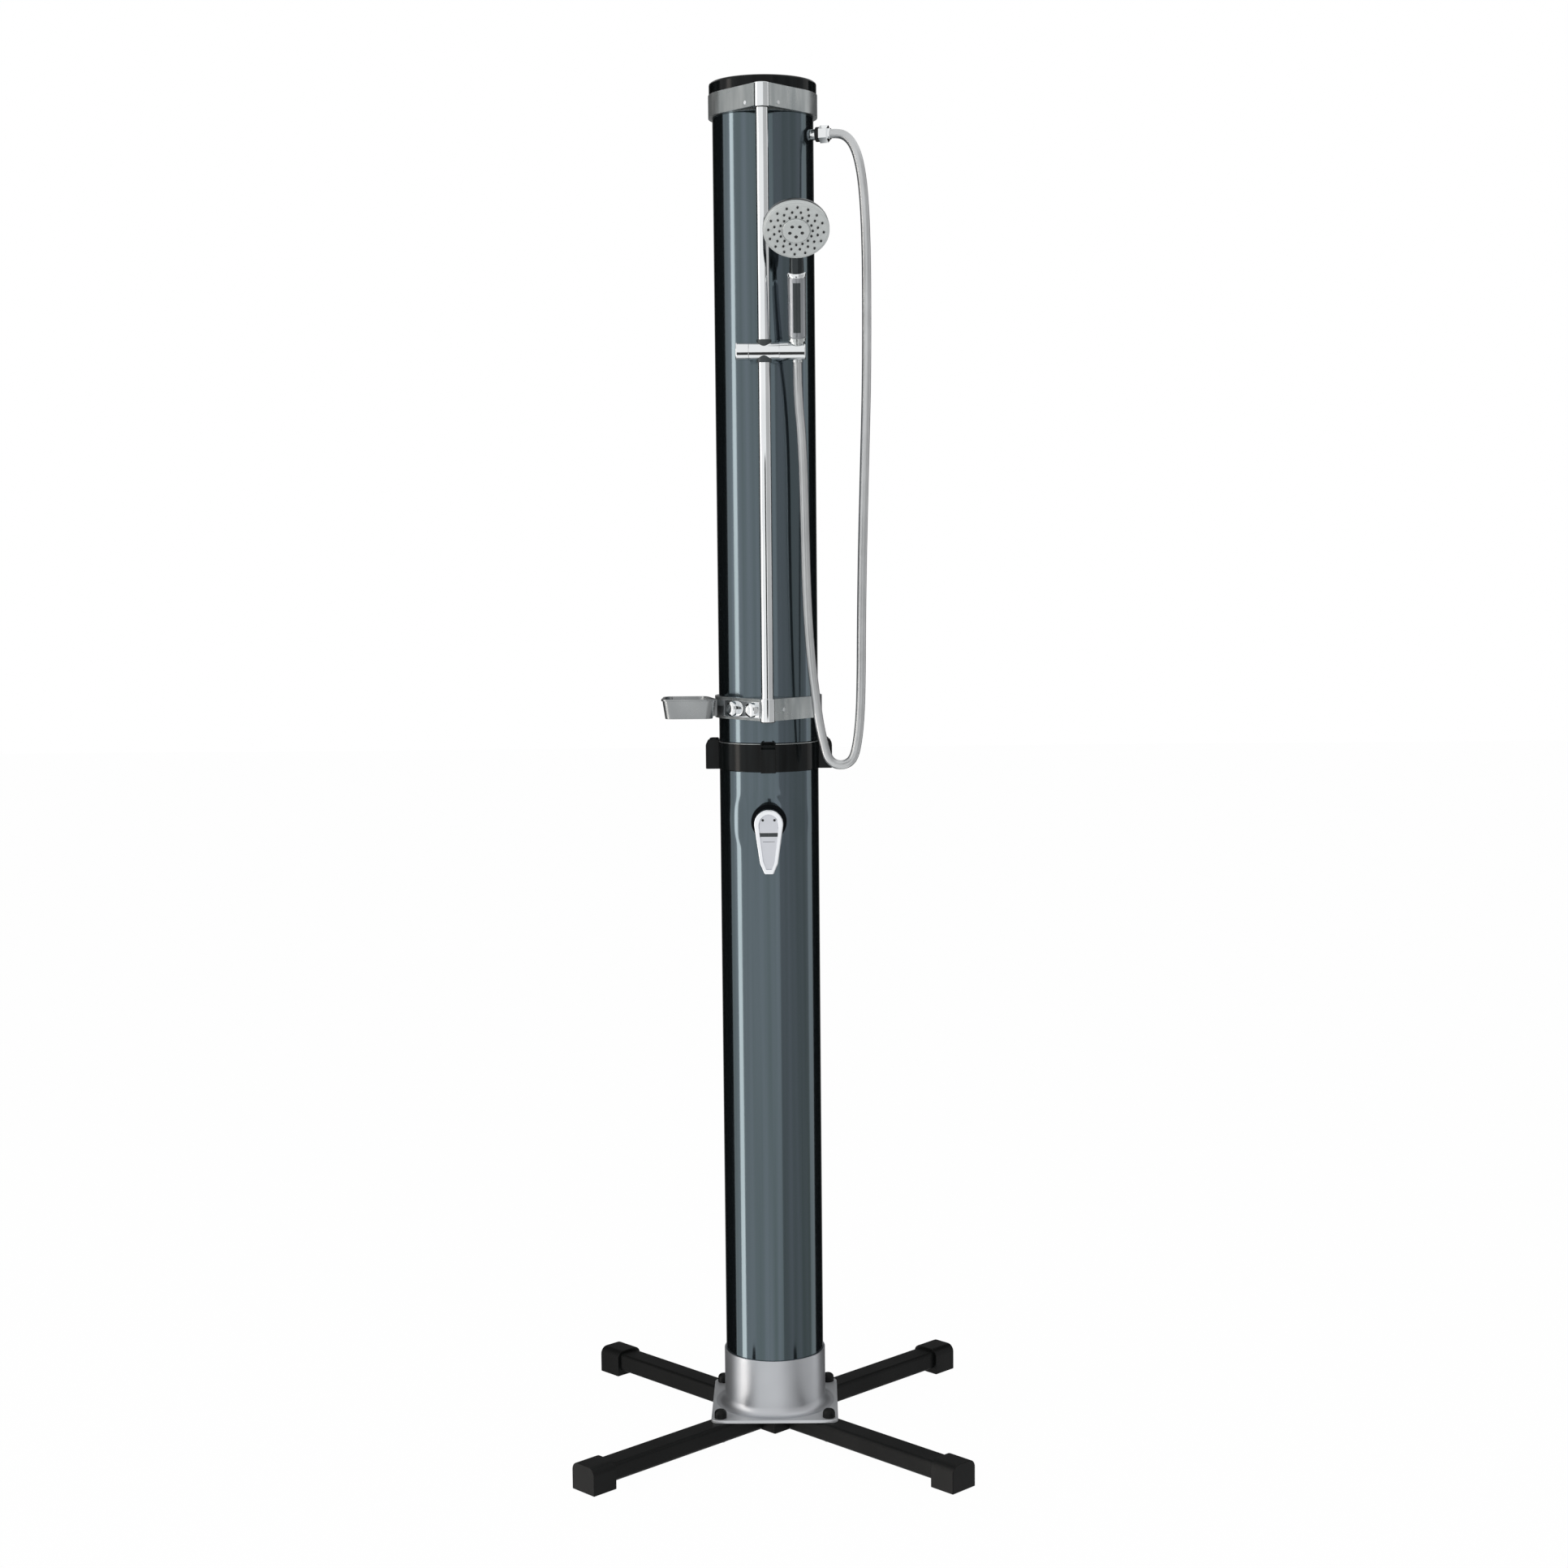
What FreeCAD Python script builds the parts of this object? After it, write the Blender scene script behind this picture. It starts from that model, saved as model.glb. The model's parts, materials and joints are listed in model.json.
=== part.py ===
import FreeCAD, Part
import math
import os

import Sketcher

# Outdoor shower post: a two-part water tube on a crossed foot, with a slide rail, a hand shower
# on a hose, a single-lever mixer and a soap dish.  Millimetres.  The origin is on the floor
# under the post's axis, +Z is up and the front, where the rail stands, looks along -Y.

X_AXIS = FreeCAD.Vector(1, 0, 0)
Y_AXIS = FreeCAD.Vector(0, 1, 0)
Z_AXIS = FreeCAD.Vector(0, 0, 1)

DRIVING_SIZES = {
    # water tube
    "post_height": 2180,
    "tube_diameter": 160,
    "tube_wall": 4,
    "push_gap": 0.2,
    "run_gap": 0.3,
    # foot
    "leg_ground_gap": 9,
    "leg_width": 40,
    "leg_height": 30,
    "leg_wall": 2,
    "leg_corner": 6,
    "leg_reach": 416,
    "hub_side": 99,
    "spigot_length": 30,
    "foot_cap_width": 52,
    "foot_cap_height": 44,
    "foot_cap_length": 46,
    "foot_cap_corner": 13,
    "foot_cap_end": 5,
    "foot_cap_end_round": 3,
    "plate_side": 206,
    "plate_thickness": 5,
    "plate_corner": 12,
    "sleeve_wall": 2.8,
    "sleeve_height": 91,
    "sleeve_flare": 14,
    "foot_bolt_offset": 87,
    "foot_bolt_diameter": 8,
    "foot_bolt_head": 5,
    "foot_bolt_flats": 13,
    "foot_nut_height": 6.5,
    "bolt_cap_diameter": 22,
    "bolt_cap_height": 14,
    "bolt_cap_wall": 2,
    "bolt_cap_round": 7,
    "plug_depth": 26,
    "plug_wall": 4,
    # union between the two tubes
    "collar_bottom": 1096,
    "collar_height": 46,
    "collar_proud": 1.5,
    "collar_wall": 5.8,
    "coupler_depth": 40,
    "coupler_wall": 6,
    "thread_length": 26,
    "flange_thickness": 6,
    "seal_thickness": 2,
    "lug_reach": 102,
    "lug_width": 24,
    "lug_height": 48,
    "lug_corner": 11,
    "lug_pocket": 14,
    # cap and brackets
    "cap_height": 19.5,
    "cap_proud": 5,
    "cap_top": 5,
    "cap_round": 4,
    "bracket_height": 34.5,
    "bracket_proud": 6.3,
    "bracket_wall": 3.5,
    "bracket_floor": 3,
    "lower_bracket_bottom": 1180,
    "boss_diameter": 24,
    "bracket_screw_diameter": 3.5,
    "bracket_screw_head": 6,
    "bracket_screw_rise": 7,
    "bracket_screw_cap": 1.6,
    "bracket_screw_along": 24,
    # slide rail and slider
    "rail_offset": 115,
    "rail_diameter": 20,
    "rail_wall": 1.5,
    "slider_level": 1754,
    "slider_diameter": 28,
    "slider_half": 23.5,
    "knob_end": 44,
    "bush_diameter": 23.5,
    "bush_height": 35,
    "holder_end": 64.5,
    "holder_diameter": 29.5,
    "holder_slot": 15.4,
    "pivot_diameter": 12,
    "pivot_length": 9,
    # hand shower
    "holder_bore_place": 51.5,
    "handset_lean": 18,
    "cone_top_diameter": 21,
    "cone_bottom_diameter": 17.5,
    "cone_length": 33,
    "cone_rise": 16,
    "cone_flange_diameter": 27,
    "cone_flange_height": 6,
    "handle_diameter": 28.5,
    "handle_top": 115,
    "handle_round": 2,
    "inlay_width": 11.4,
    "inlay_depth": 1.8,
    "inlay_bottom": 31,
    "inlay_top": 108,
    "neck_ring_diameter": 29.5,
    "neck_ring_height": 7,
    "neck_diameter": 22.6,
    "head_diameter": 101,
    "head_depth": 22,
    "head_round": 12,
    "head_tilt": 24,
    "face_forward": 34.7,
    "face_rise": 191,
    "dial_depth": 7,
    "dial_round": 1.5,
    "hub_disc_diameter": 43,
    "hub_disc_proud": 1.2,
    "hub_seat_depth": 3,
    "jet_circle": 19.6,
    "jet_diameter": 5.4,
    "jet_depth": 2.8,
    "nozzle_diameter": 2.6,
    "nozzle_proud": 1.3,
    "nozzle_seat": 1.2,
    "nozzle_inner_circle": 25,
    "nozzle_circle_step": 8.4,
    # hose and its outlet
    "hose_diameter": 14.5,
    "hose_bore": 8,
    "outlet_drop": 84,
    "outlet_angle": 18,
    "outlet_stub_diameter": 17,
    "outlet_stub_length": 8.5,
    "outlet_washer_diameter": 23,
    "outlet_washer_length": 6.5,
    "outlet_nut_flats": 24,
    "outlet_nut_length": 13.5,
    "ferrule_diameter": 17.4,
    "ferrule_length": 4,
    "locknut_flats": 27,
    "locknut_height": 7,
    # mixer
    "mixer_level": 1017,
    "mixer_boss_proud": 8,
    "mixer_boss_front": 52,
    "mixer_boss_width": 70,
    "mixer_boss_height": 106,
    "cartridge_diameter": 35,
    "cartridge_length": 38,
    "cover_sphere": 40,
    "cover_opening": 27,
    "pivot_rise": 8,
    "spindle_diameter": 18,
    "stem_width": 8,
    "pin_diameter": 3,
    "lever_head_diameter": 46,
    "lever_length": 79.5,
    "lever_tip_width": 29,
    "lever_tip_flat": 16,
    "lever_tip_slope": 14,
    "lever_rim": 5.5,
    "lever_panel_depth": 1,
    "lever_face": 24,
    "lever_thickness": 9,
    "lever_groove": 6,
    "lever_groove_drop": 11,
    "lever_groove_depth": 2.5,
    "mark_diameter": 4,
    "mark_depth": 0.8,
    "mark_spread": 18.5,
    "mark_rise": 6.5,
    "mixer_body_diameter": 46,
    "mixer_body_length": 44,
    "port_diameter": 20,
    "port_length": 26,
    "port_socket": 10,
    "pipe_diameter": 16,
    "pipe_wall": 2,
    "pipe_spread": 28,
    "pipe_end_gap": 13,
    # garden-hose inlet at the back
    "inlet_level": 172,
    "inlet_thread_diameter": 26,
    "inlet_barb_diameter": 17,
    "inlet_length": 46,
    "inlet_flange_diameter": 36,
    # soap dish
    "dish_length": 88,
    "dish_width": 86,
    "dish_height": 31.5,
    "dish_rise": 2.5,
    "dish_wall": 2.6,
    "dish_floor": 3,
    "dish_draft": 8,
    "dish_corner": 14,
    "dish_rim": 3,
    "dish_lip": 1.5,
    "dish_reach": 87,
    "dish_front": 100,
    "dish_end_setback": 21,
    "arm_thickness": 5,
    "arm_height": 26,
    "arm_cap_diameter": 24,
    "arm_cap_height": 11,
    "arm_cap_round": 6,
    "arm_cap_near": 14,
    "arm_cap_far": 62,
    "arm_start": 1,
    "arm_end": 93,
    "tongue_height": 10,
    "hanger_drop": 3.5,
    "hanger_stand_off": 1,
    "hanger_front": 42,
    "hanger_width": 22,
    "drain_width": 4.5,
}

LEG_NAMES = {"front_left": 225, "front_right": 315, "rear_left": 135, "rear_right": 45}
LUG_COUNT = 4
NOZZLE_ARMS = 16
NOZZLES_PER_ARM = 3
NOZZLE_SWIRL = 13
JET_COUNT = 5
DRAIN_SLOTS = 5
# Side and direction of the mixer's four ports; the last one is closed by its own socket floor.
MIXER_PORTS = {"cold": (-1, False), "hot": (-1, True), "mixed": (1, True), "spare": (1, False)}

# Points of the hose's route, from the outlet's ferrule round the loop to the hand shower.
HOSE_ROUTE = [
    (120.3, -39.1, 2096),
    (132.8, -43.2, 2089.5),
    (142.6, -46.4, 2076),
    (149.8, -48.8, 2055),
    (155.5, -50.8, 2022),
    (159.2, -52.5, 1973),
    (161, -55, 1903),
    (160.8, -61, 1803),
    (159.5, -66.5, 1700),
    (156, -71, 1590),
    (151.5, -75, 1450),
    (149, -80, 1330),
    (148, -83, 1240),
    (146, -85, 1185),
    (142, -86, 1146),
    (135.8, -86.5, 1118),
    (123.5, -87, 1107.7),
    (107.6, -87.5, 1107.3),
    (94.6, -88, 1117),
    (87, -88.5, 1146),
    (80.7, -89, 1177),
    (75, -90, 1222),
    (67.5, -90.5, 1290),
    (62.8, -91, 1380),
    (61, -91.5, 1480),
    (59.5, -91, 1570),
    (56.5, -92.5, 1635),
    (53.3, -94.5, 1669),
]
# Length of the straight run that leads the hose into the hand shower's cone.
HOSE_END_RUN = 30


class Size:
    """A length or an angle together with the sheet expression that gives it."""

    def __init__(self, value, text):
        self.value = value
        self.text = text

    def __float__(self):
        return float(self.value)

    def __add__(self, other):
        other = as_size(other)
        return Size(self.value + other.value, f"({self.text} + {other.text})")

    def __sub__(self, other):
        other = as_size(other)
        return Size(self.value - other.value, f"({self.text} - {other.text})")

    def __mul__(self, other):
        other = as_size(other)
        return Size(self.value * other.value, f"({self.text} * {other.text})")

    def __truediv__(self, other):
        other = as_size(other)
        return Size(self.value / other.value, f"({self.text} / {other.text})")

    def __radd__(self, other):
        return as_size(other) + self

    def __rsub__(self, other):
        return as_size(other) - self

    def __rmul__(self, other):
        return as_size(other) * self

    def __neg__(self):
        return Size(-self.value, f"(0 - {self.text})")


def as_size(value):
    """Give a plain number the same form as a size of the sheet."""
    return value if isinstance(value, Size) else Size(float(value), f"({float(value)})")


def sine(angle):
    angle = as_size(angle)
    return Size(math.sin(math.radians(angle.value)), f"sin({angle.text})")


def cosine(angle):
    angle = as_size(angle)
    return Size(math.cos(math.radians(angle.value)), f"cos({angle.text})")


def arc_cosine(share):
    return Size(math.degrees(math.acos(share.value)), f"(acos({share.text}) / 1deg)")


document = FreeCAD.newDocument("outdoor_shower_post")
sheet = document.addObject("Spreadsheet::Sheet", "sizes")
for row, (alias, number) in enumerate(DRIVING_SIZES.items(), 1):
    sheet.set(f"A{row}", alias)
    sheet.set(f"B{row}", str(number))
    sheet.setAlias(f"B{row}", alias)
document.recompute()


class Dimensions:
    """The driving sizes by name."""

    def __getattr__(self, alias):
        return Size(float(sheet.get(alias)), f"sizes.{alias}")


d = Dimensions()
finished = []


# ---------------------------------------------------------------- building helpers

def bind(thing, path, value):
    """Tie one property of a document object to a size."""
    if isinstance(value, Size):
        thing.setExpression(path, value.text)
        return
    thing.setExpression(path, as_size(value).text)


def place(thing, x=0, y=0, z=0, axis=Z_AXIS, angle=0):
    """Put an object at a bound place, turned about one axis."""
    thing.Placement = FreeCAD.Placement(FreeCAD.Vector(), FreeCAD.Rotation(axis, float(angle)))
    for letter, value in (("x", x), ("y", y), ("z", z)):
        bind(thing, f".Placement.Base.{letter}", value)
    if isinstance(angle, Size):
        thing.setExpression(".Placement.Rotation.Angle", angle.text)
    return thing


def finish(thing, label):
    """Name a finished sub-part."""
    thing.Label = label
    finished.append(thing)
    return thing


def role_plane(body, role):
    return next(plane for plane in body.Origin.OriginFeatures if plane.Role == role)


def draw_outline(sketch, points):
    """Draw a closed outline in a sketch, with each corner tied to its sizes."""
    first = sketch.GeometryCount
    corners = [FreeCAD.Vector(float(across), float(up), 0) for across, up in points]
    for start, end in zip(corners, corners[1:] + corners[:1]):
        sketch.addGeometry(Part.LineSegment(start, end))
    for number, (across, up) in enumerate(points):
        line = first + number
        following = first + (number + 1) % len(points)
        sketch.addConstraint(Sketcher.Constraint("Coincident", line, 2, following, 1))
        for kind, value in (("DistanceX", across), ("DistanceY", up)):
            index = sketch.addConstraint(Sketcher.Constraint(kind, -1, 1, line, 1, float(value)))
            if isinstance(value, Size):
                sketch.setExpression(f"Constraints[{index}]", value.text)


def sketch_on(body, name, role, *outlines):
    """Start a sketch on one of a body's own planes and draw closed outlines in it."""
    sketch = body.newObject("Sketcher::SketchObject", name)
    sketch.AttachmentSupport = (role_plane(body, role), [""])
    sketch.MapMode = "FlatFace"
    for points in outlines:
        draw_outline(sketch, points)
    return sketch


def turned(name, *outlines):
    """Turn closed outlines of (radius, height) corners about the vertical axis."""
    body = document.addObject("PartDesign::Body", name)
    sketch = sketch_on(body, f"{name}_section", "XZ_Plane", *outlines)
    turn = body.newObject("PartDesign::Revolution", f"{name}_turn")
    turn.Profile = sketch
    turn.ReferenceAxis = (sketch, ["V_Axis"])
    turn.Angle = 360
    body.Tip = turn
    return body


def prism(name, points, height, *holes):
    """Pad a closed outline of (x, y) corners upwards."""
    body = document.addObject("PartDesign::Body", name)
    sketch = sketch_on(body, f"{name}_plan", "XY_Plane", points, *holes)
    pad = body.newObject("PartDesign::Pad", f"{name}_pad")
    pad.Profile = sketch
    bind(pad, "Length", height)
    body.Tip = pad
    return body


def round_body(body, radius, chosen):
    """Round the edges of a body that a test picks."""
    document.recompute()
    base = body.Tip
    names = [f"Edge{number}" for number, edge in enumerate(base.Shape.Edges, 1) if chosen(edge)]
    fillet = body.newObject("PartDesign::Fillet", f"{body.Name}_round")
    fillet.Base = (base, names)
    bind(fillet, "Radius", radius)
    body.Tip = fillet
    return body


def round_shape(name, base, radius, chosen):
    """Round the edges of any object that a test picks."""
    document.recompute()
    edges = [number for number, edge in enumerate(base.Shape.Edges, 1) if chosen(edge)]
    fillet = document.addObject("Part::Fillet", name)
    fillet.Base = base
    fillet.Edges = [(number, float(radius), float(radius)) for number in edges]
    return fillet


def cylinder(name, radius, height):
    solid = document.addObject("Part::Cylinder", name)
    bind(solid, "Radius", radius)
    bind(solid, "Height", height)
    return solid


def cone(name, bottom_radius, top_radius, height):
    solid = document.addObject("Part::Cone", name)
    bind(solid, "Radius1", bottom_radius)
    bind(solid, "Radius2", top_radius)
    bind(solid, "Height", height)
    return solid


def sphere(name, radius):
    solid = document.addObject("Part::Sphere", name)
    bind(solid, "Radius", radius)
    return solid


def block(name, x_range, y_range, z_range):
    """A box between two bound corners."""
    solid = document.addObject("Part::Box", name)
    for side, (low, high) in zip(("Length", "Width", "Height"), (x_range, y_range, z_range)):
        bind(solid, side, as_size(high) - low)
    return place(solid, x_range[0], y_range[0], z_range[0])


def hexagon(name, flats, height):
    solid = document.addObject("Part::Prism", name)
    solid.Polygon = 6
    bind(solid, "Circumradius", as_size(flats) / math.sqrt(3))
    bind(solid, "Height", height)
    return solid


def fuse(name, *solids):
    joined = document.addObject("Part::MultiFuse", name)
    joined.Shapes = list(solids)
    joined.Refine = True
    return joined


def cut(name, base, tool):
    remaining = document.addObject("Part::Cut", name)
    remaining.Base = base
    remaining.Tool = tool
    remaining.Refine = True
    return remaining


def common(name, first, second):
    shared = document.addObject("Part::Common", name)
    shared.Base = first
    shared.Tool = second
    return shared


def group(name, solids):
    gathered = document.addObject("Part::Compound", name)
    gathered.Links = list(solids)
    return gathered


def pipe(name, outer_radius, inner_radius, low, high):
    """A straight vertical tube between two heights."""
    return turned(name, [(inner_radius, low), (outer_radius, low), (outer_radius, high),
                         (inner_radius, high)])


def is_circle(edge, radius, height=None):
    """Whether an edge is a horizontal circle of a radius, at a height if one is given."""
    curve = edge.Curve
    if curve.TypeId != "Part::GeomCircle" or abs(curve.Radius - float(radius)) > 0.01:
        return False
    return height is None or abs(edge.CenterOfMass.z - float(height)) < 0.01


def runs_along(edge, axis):
    """Whether an edge is straight and parallel to an axis."""
    if edge.Curve.TypeId != "Part::GeomLine":
        return False
    return abs(abs(edge.tangentAt(edge.FirstParameter).dot(axis)) - 1) < 1e-6


# ---------------------------------------------------------------- shared levels

tube_radius = d.tube_diameter / 2
tube_bore = tube_radius - d.tube_wall
leg_top = d.leg_ground_gap + d.leg_height
plate_top = leg_top + d.plate_thickness
collar_top = d.collar_bottom + d.collar_height
tube_top = d.post_height - d.cap_top
cap_bottom = d.post_height - d.cap_height
upper_bracket_bottom = cap_bottom - d.bracket_height
bracket_radius = tube_radius + d.bracket_proud
rail_radius = d.rail_diameter / 2
plate_turn = arc_cosine((bracket_radius - d.boss_diameter / 2) / d.rail_offset)
outlet_level = d.post_height - d.outlet_drop
mixer_face = tube_radius + d.mixer_boss_proud
dish_left = tube_radius + d.dish_reach
hanger_side = tube_radius + d.hanger_stand_off
pivot_place = mixer_face + d.pivot_rise


# ---------------------------------------------------------------- foot

def build_hub():
    """Square casting under the post, with a spigot for each leg."""
    half = d.hub_side / 2
    inner_width = d.leg_width - 2 * d.leg_wall - 2 * d.push_gap
    inner_height = d.leg_height - 2 * d.leg_wall - 2 * d.push_gap
    middle = d.leg_ground_gap + d.leg_height / 2
    reach = half + d.spigot_length
    core = block("hub_core", (-half, half), (-half, half), (d.leg_ground_gap, leg_top))
    along = block("hub_spigot_x", (-reach, reach), (-inner_width / 2, inner_width / 2),
                  (middle - inner_height / 2, middle + inner_height / 2))
    across = block("hub_spigot_y", (-inner_width / 2, inner_width / 2), (-reach, reach),
                   (middle - inner_height / 2, middle + inner_height / 2))
    solid = fuse("hub_solid", core, along, across)
    well = cylinder("hub_well", half * 0.62, d.leg_height)
    place(well, z=d.leg_ground_gap - d.plate_thickness)
    hub = cut("hub_casting", solid, well)
    place(hub, axis=Z_AXIS, angle=45)
    finish(hub, "foot_hub")


def build_leg(side, turn):
    """Rectangular leg tube, pushed on a spigot of the hub and bolted under the plate."""
    start = d.hub_side / 2
    length = d.leg_reach - d.foot_cap_end - start
    half = d.leg_width / 2
    inner = half - d.leg_wall
    body = document.addObject("PartDesign::Body", f"leg_{side}_tube")
    section = sketch_on(body, f"leg_{side}_section", "YZ_Plane",
                        [(-half, d.leg_ground_gap), (half, d.leg_ground_gap), (half, leg_top),
                         (-half, leg_top)])
    pad = body.newObject("PartDesign::Pad", f"leg_{side}_pad")
    pad.Profile = section
    bind(pad, "Length", length)
    body.Tip = pad
    round_body(body, d.leg_corner, lambda edge: runs_along(edge, X_AXIS))
    bore = sketch_on(body, f"leg_{side}_bore_section", "YZ_Plane",
                     [(-inner, d.leg_ground_gap + d.leg_wall), (inner, d.leg_ground_gap + d.leg_wall),
                      (inner, leg_top - d.leg_wall), (-inner, leg_top - d.leg_wall)])
    pocket = body.newObject("PartDesign::Pocket", f"leg_{side}_bore")
    pocket.Profile = bore
    pocket.Type = "ThroughAll"
    pocket.Reversed = True
    body.Tip = pocket
    hole = cylinder(f"leg_{side}_hole", d.foot_bolt_diameter / 2 + d.push_gap, d.leg_height * 2)
    place(hole, x=d.foot_bolt_offset * math.sqrt(2) - start)
    leg = cut(f"leg_{side}_drilled", body, hole)
    place(leg, x=start * math.cos(math.radians(turn)), y=start * math.sin(math.radians(turn)),
          axis=Z_AXIS, angle=turn)
    finish(leg, f"leg_{side}")


def build_foot_cap(side, turn):
    """Arched end cap with a thick tread, pushed over the end of a leg."""
    half = d.foot_cap_width / 2
    inner = d.leg_width / 2 + d.push_gap
    body = document.addObject("PartDesign::Body", f"foot_{side}_cap")
    section = sketch_on(body, f"foot_{side}_section", "YZ_Plane",
                        [(-half, 0), (half, 0), (half, d.foot_cap_height), (-half, d.foot_cap_height)])
    pad = body.newObject("PartDesign::Pad", f"foot_{side}_pad")
    pad.Profile = section
    bind(pad, "Length", d.foot_cap_length)
    body.Tip = pad
    top = float(d.foot_cap_height)
    round_body(body, d.foot_cap_corner,
               lambda edge: runs_along(edge, X_AXIS) and abs(edge.CenterOfMass.z - top) < 0.01)
    end = float(d.foot_cap_length)
    round_body(body, d.foot_cap_end_round,
               lambda edge: abs(edge.CenterOfMass.x - end) < 0.01 and edge.CenterOfMass.z > 0.01)
    socket_section = sketch_on(body, f"foot_{side}_socket_section", "YZ_Plane",
                               [(-inner, d.leg_ground_gap - d.push_gap),
                                (inner, d.leg_ground_gap - d.push_gap),
                                (inner, leg_top + d.push_gap), (-inner, leg_top + d.push_gap)])
    socket = body.newObject("PartDesign::Pocket", f"foot_{side}_socket")
    socket.Profile = socket_section
    socket.Reversed = True
    bind(socket, "Length", d.foot_cap_length - d.foot_cap_end)
    body.Tip = socket
    start = d.leg_reach - d.foot_cap_length
    place(body, x=start * math.cos(math.radians(turn)), y=start * math.sin(math.radians(turn)),
          axis=Z_AXIS, angle=turn)
    finish(body, f"foot_cap_{side}")


def build_base_sleeve():
    """Square flange plate with a flared sleeve that the lower tube stands in."""
    half = d.plate_side / 2
    outer = tube_radius + d.push_gap + d.sleeve_wall
    body = document.addObject("PartDesign::Body", "base_sleeve_body")
    plan = sketch_on(body, "plate_plan", "XY_Plane",
                     [(-half, -half), (half, -half), (half, half), (-half, half)])
    plate = body.newObject("PartDesign::Pad", "plate_pad")
    plate.Profile = plan
    bind(plate, "Length", d.plate_thickness)
    body.Tip = plate
    round_body(body, d.plate_corner, lambda edge: runs_along(edge, Z_AXIS))
    wall = sketch_on(body, "sleeve_section", "XZ_Plane",
                     [(0, 0), (outer, 0), (outer, d.plate_thickness + d.sleeve_height),
                      (0, d.plate_thickness + d.sleeve_height)])
    turn = body.newObject("PartDesign::Revolution", "sleeve_turn")
    turn.Profile = wall
    turn.ReferenceAxis = (wall, ["V_Axis"])
    turn.Angle = 360
    body.Tip = turn
    document.recompute()
    foot_edges = [f"Edge{number}" for number, edge in enumerate(turn.Shape.Edges, 1)
                  if is_circle(edge, outer, d.plate_thickness)]
    flare = body.newObject("PartDesign::Fillet", "sleeve_flare_fillet")
    flare.Base = (turn, foot_edges)
    bind(flare, "Radius", d.sleeve_flare)
    body.Tip = flare
    bore = cylinder("sleeve_bore", tube_radius + d.push_gap, d.sleeve_height * 2)
    place(bore, z=d.plate_thickness)
    holes = [place(cylinder(f"plate_hole_{number}", d.foot_bolt_diameter / 2 + d.push_gap,
                            d.plate_thickness * 3),
                   d.foot_bolt_offset * across, d.foot_bolt_offset * along, -d.plate_thickness)
             for number, (across, along) in enumerate(CORNERS)]
    sleeve = cut("base_sleeve_cut", body, fuse("sleeve_cutters", bore, *holes))
    place(sleeve, z=leg_top)
    finish(sleeve, "base_sleeve")


CORNERS = [(-1, -1), (1, -1), (1, 1), (-1, 1)]


def at_bolts(name, make, low):
    """One group of four equal pieces, standing at the foot bolts."""
    pieces = [place(make(f"{name}_{number}"), d.foot_bolt_offset * across, d.foot_bolt_offset * along, low)
              for number, (across, along) in enumerate(CORNERS)]
    return group(f"{name}_group", pieces)


def build_foot_fasteners():
    shank_length = d.foot_bolt_head + d.leg_height + d.plate_thickness + d.foot_nut_height + 2

    def bolt(name):
        head = hexagon(f"{name}_head", d.foot_bolt_flats, d.foot_bolt_head)
        shank = cylinder(f"{name}_shank", d.foot_bolt_diameter / 2, shank_length)
        return fuse(name, head, shank)

    def nut(name):
        blank = hexagon(f"{name}_blank", d.foot_bolt_flats, d.foot_nut_height)
        return cut(name, blank, cylinder(f"{name}_bore", d.foot_bolt_diameter / 2, d.foot_nut_height))

    def cap(name):
        radius = d.bolt_cap_diameter / 2
        hollow = radius - d.bolt_cap_wall
        dome = turned(name, [(0, 0), (radius, 0), (radius, d.bolt_cap_height), (0, d.bolt_cap_height)])
        round_body(dome, d.bolt_cap_round, lambda edge: is_circle(edge, radius, d.bolt_cap_height))
        return cut(f"{name}_hollowed", dome,
                   cylinder(f"{name}_hollow", hollow, d.bolt_cap_height - d.bolt_cap_wall * 1.5))

    finish(at_bolts("foot_bolt", bolt, d.leg_ground_gap - d.foot_bolt_head), "foot_bolts")
    finish(at_bolts("foot_nut", nut, plate_top), "foot_nuts")
    finish(at_bolts("bolt_cap", cap, plate_top), "bolt_caps")


# ---------------------------------------------------------------- water tube

def oval(name, half_width, half_height, reach):
    """An upright ellipse that faces forwards, at a distance in front of the post's axis."""
    outline = document.addObject("Part::Ellipse", name)
    bind(outline, "MajorRadius", half_height)
    bind(outline, "MinorRadius", half_width)
    return place(outline, y=-reach, z=d.mixer_level, axis=FreeCAD.Vector(1, 1, 1), angle=240)


def build_lower_tube():
    """Lower tank tube with the oval moulded bulge that carries the mixer."""
    height = d.collar_bottom - plate_top
    skin = cylinder("lower_tube_skin", tube_radius, height)
    place(skin, z=plate_top)
    front = d.mixer_boss_front / 2
    wide = d.mixer_boss_width / 2
    high = d.mixer_boss_height / 2
    ovals = [
        oval("boss_root", wide + 14, high + 6, tube_radius - 20),
        oval("boss_flank", wide + 5, high + 4, tube_radius - 8),
        oval("boss_side", wide - 1, high, tube_radius),
        oval("boss_shoulder", front + 4, (front + high) / 2, mixer_face - 4),
        oval("boss_front", front, front + 1.5, mixer_face),
    ]
    boss = document.addObject("Part::Loft", "mixer_boss")
    boss.Sections = ovals
    boss.Solid = True
    outer = fuse("lower_tube_outer", skin, boss)
    bore = cylinder("lower_tube_bore", tube_bore, height)
    place(bore, z=plate_top)
    socket = cylinder("cartridge_socket", d.cartridge_diameter / 2 + d.push_gap, mixer_face)
    place(socket, z=d.mixer_level, axis=X_AXIS, angle=90)
    inlet_hole = cylinder("inlet_hole", d.inlet_barb_diameter / 2 + d.push_gap, d.tube_diameter)
    place(inlet_hole, z=d.inlet_level, axis=X_AXIS, angle=-90)
    cutters = fuse("lower_tube_cutters", bore, socket, inlet_hole)
    finish(cut("lower_tube_cut", outer, cutters), "lower_tube")


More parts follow.
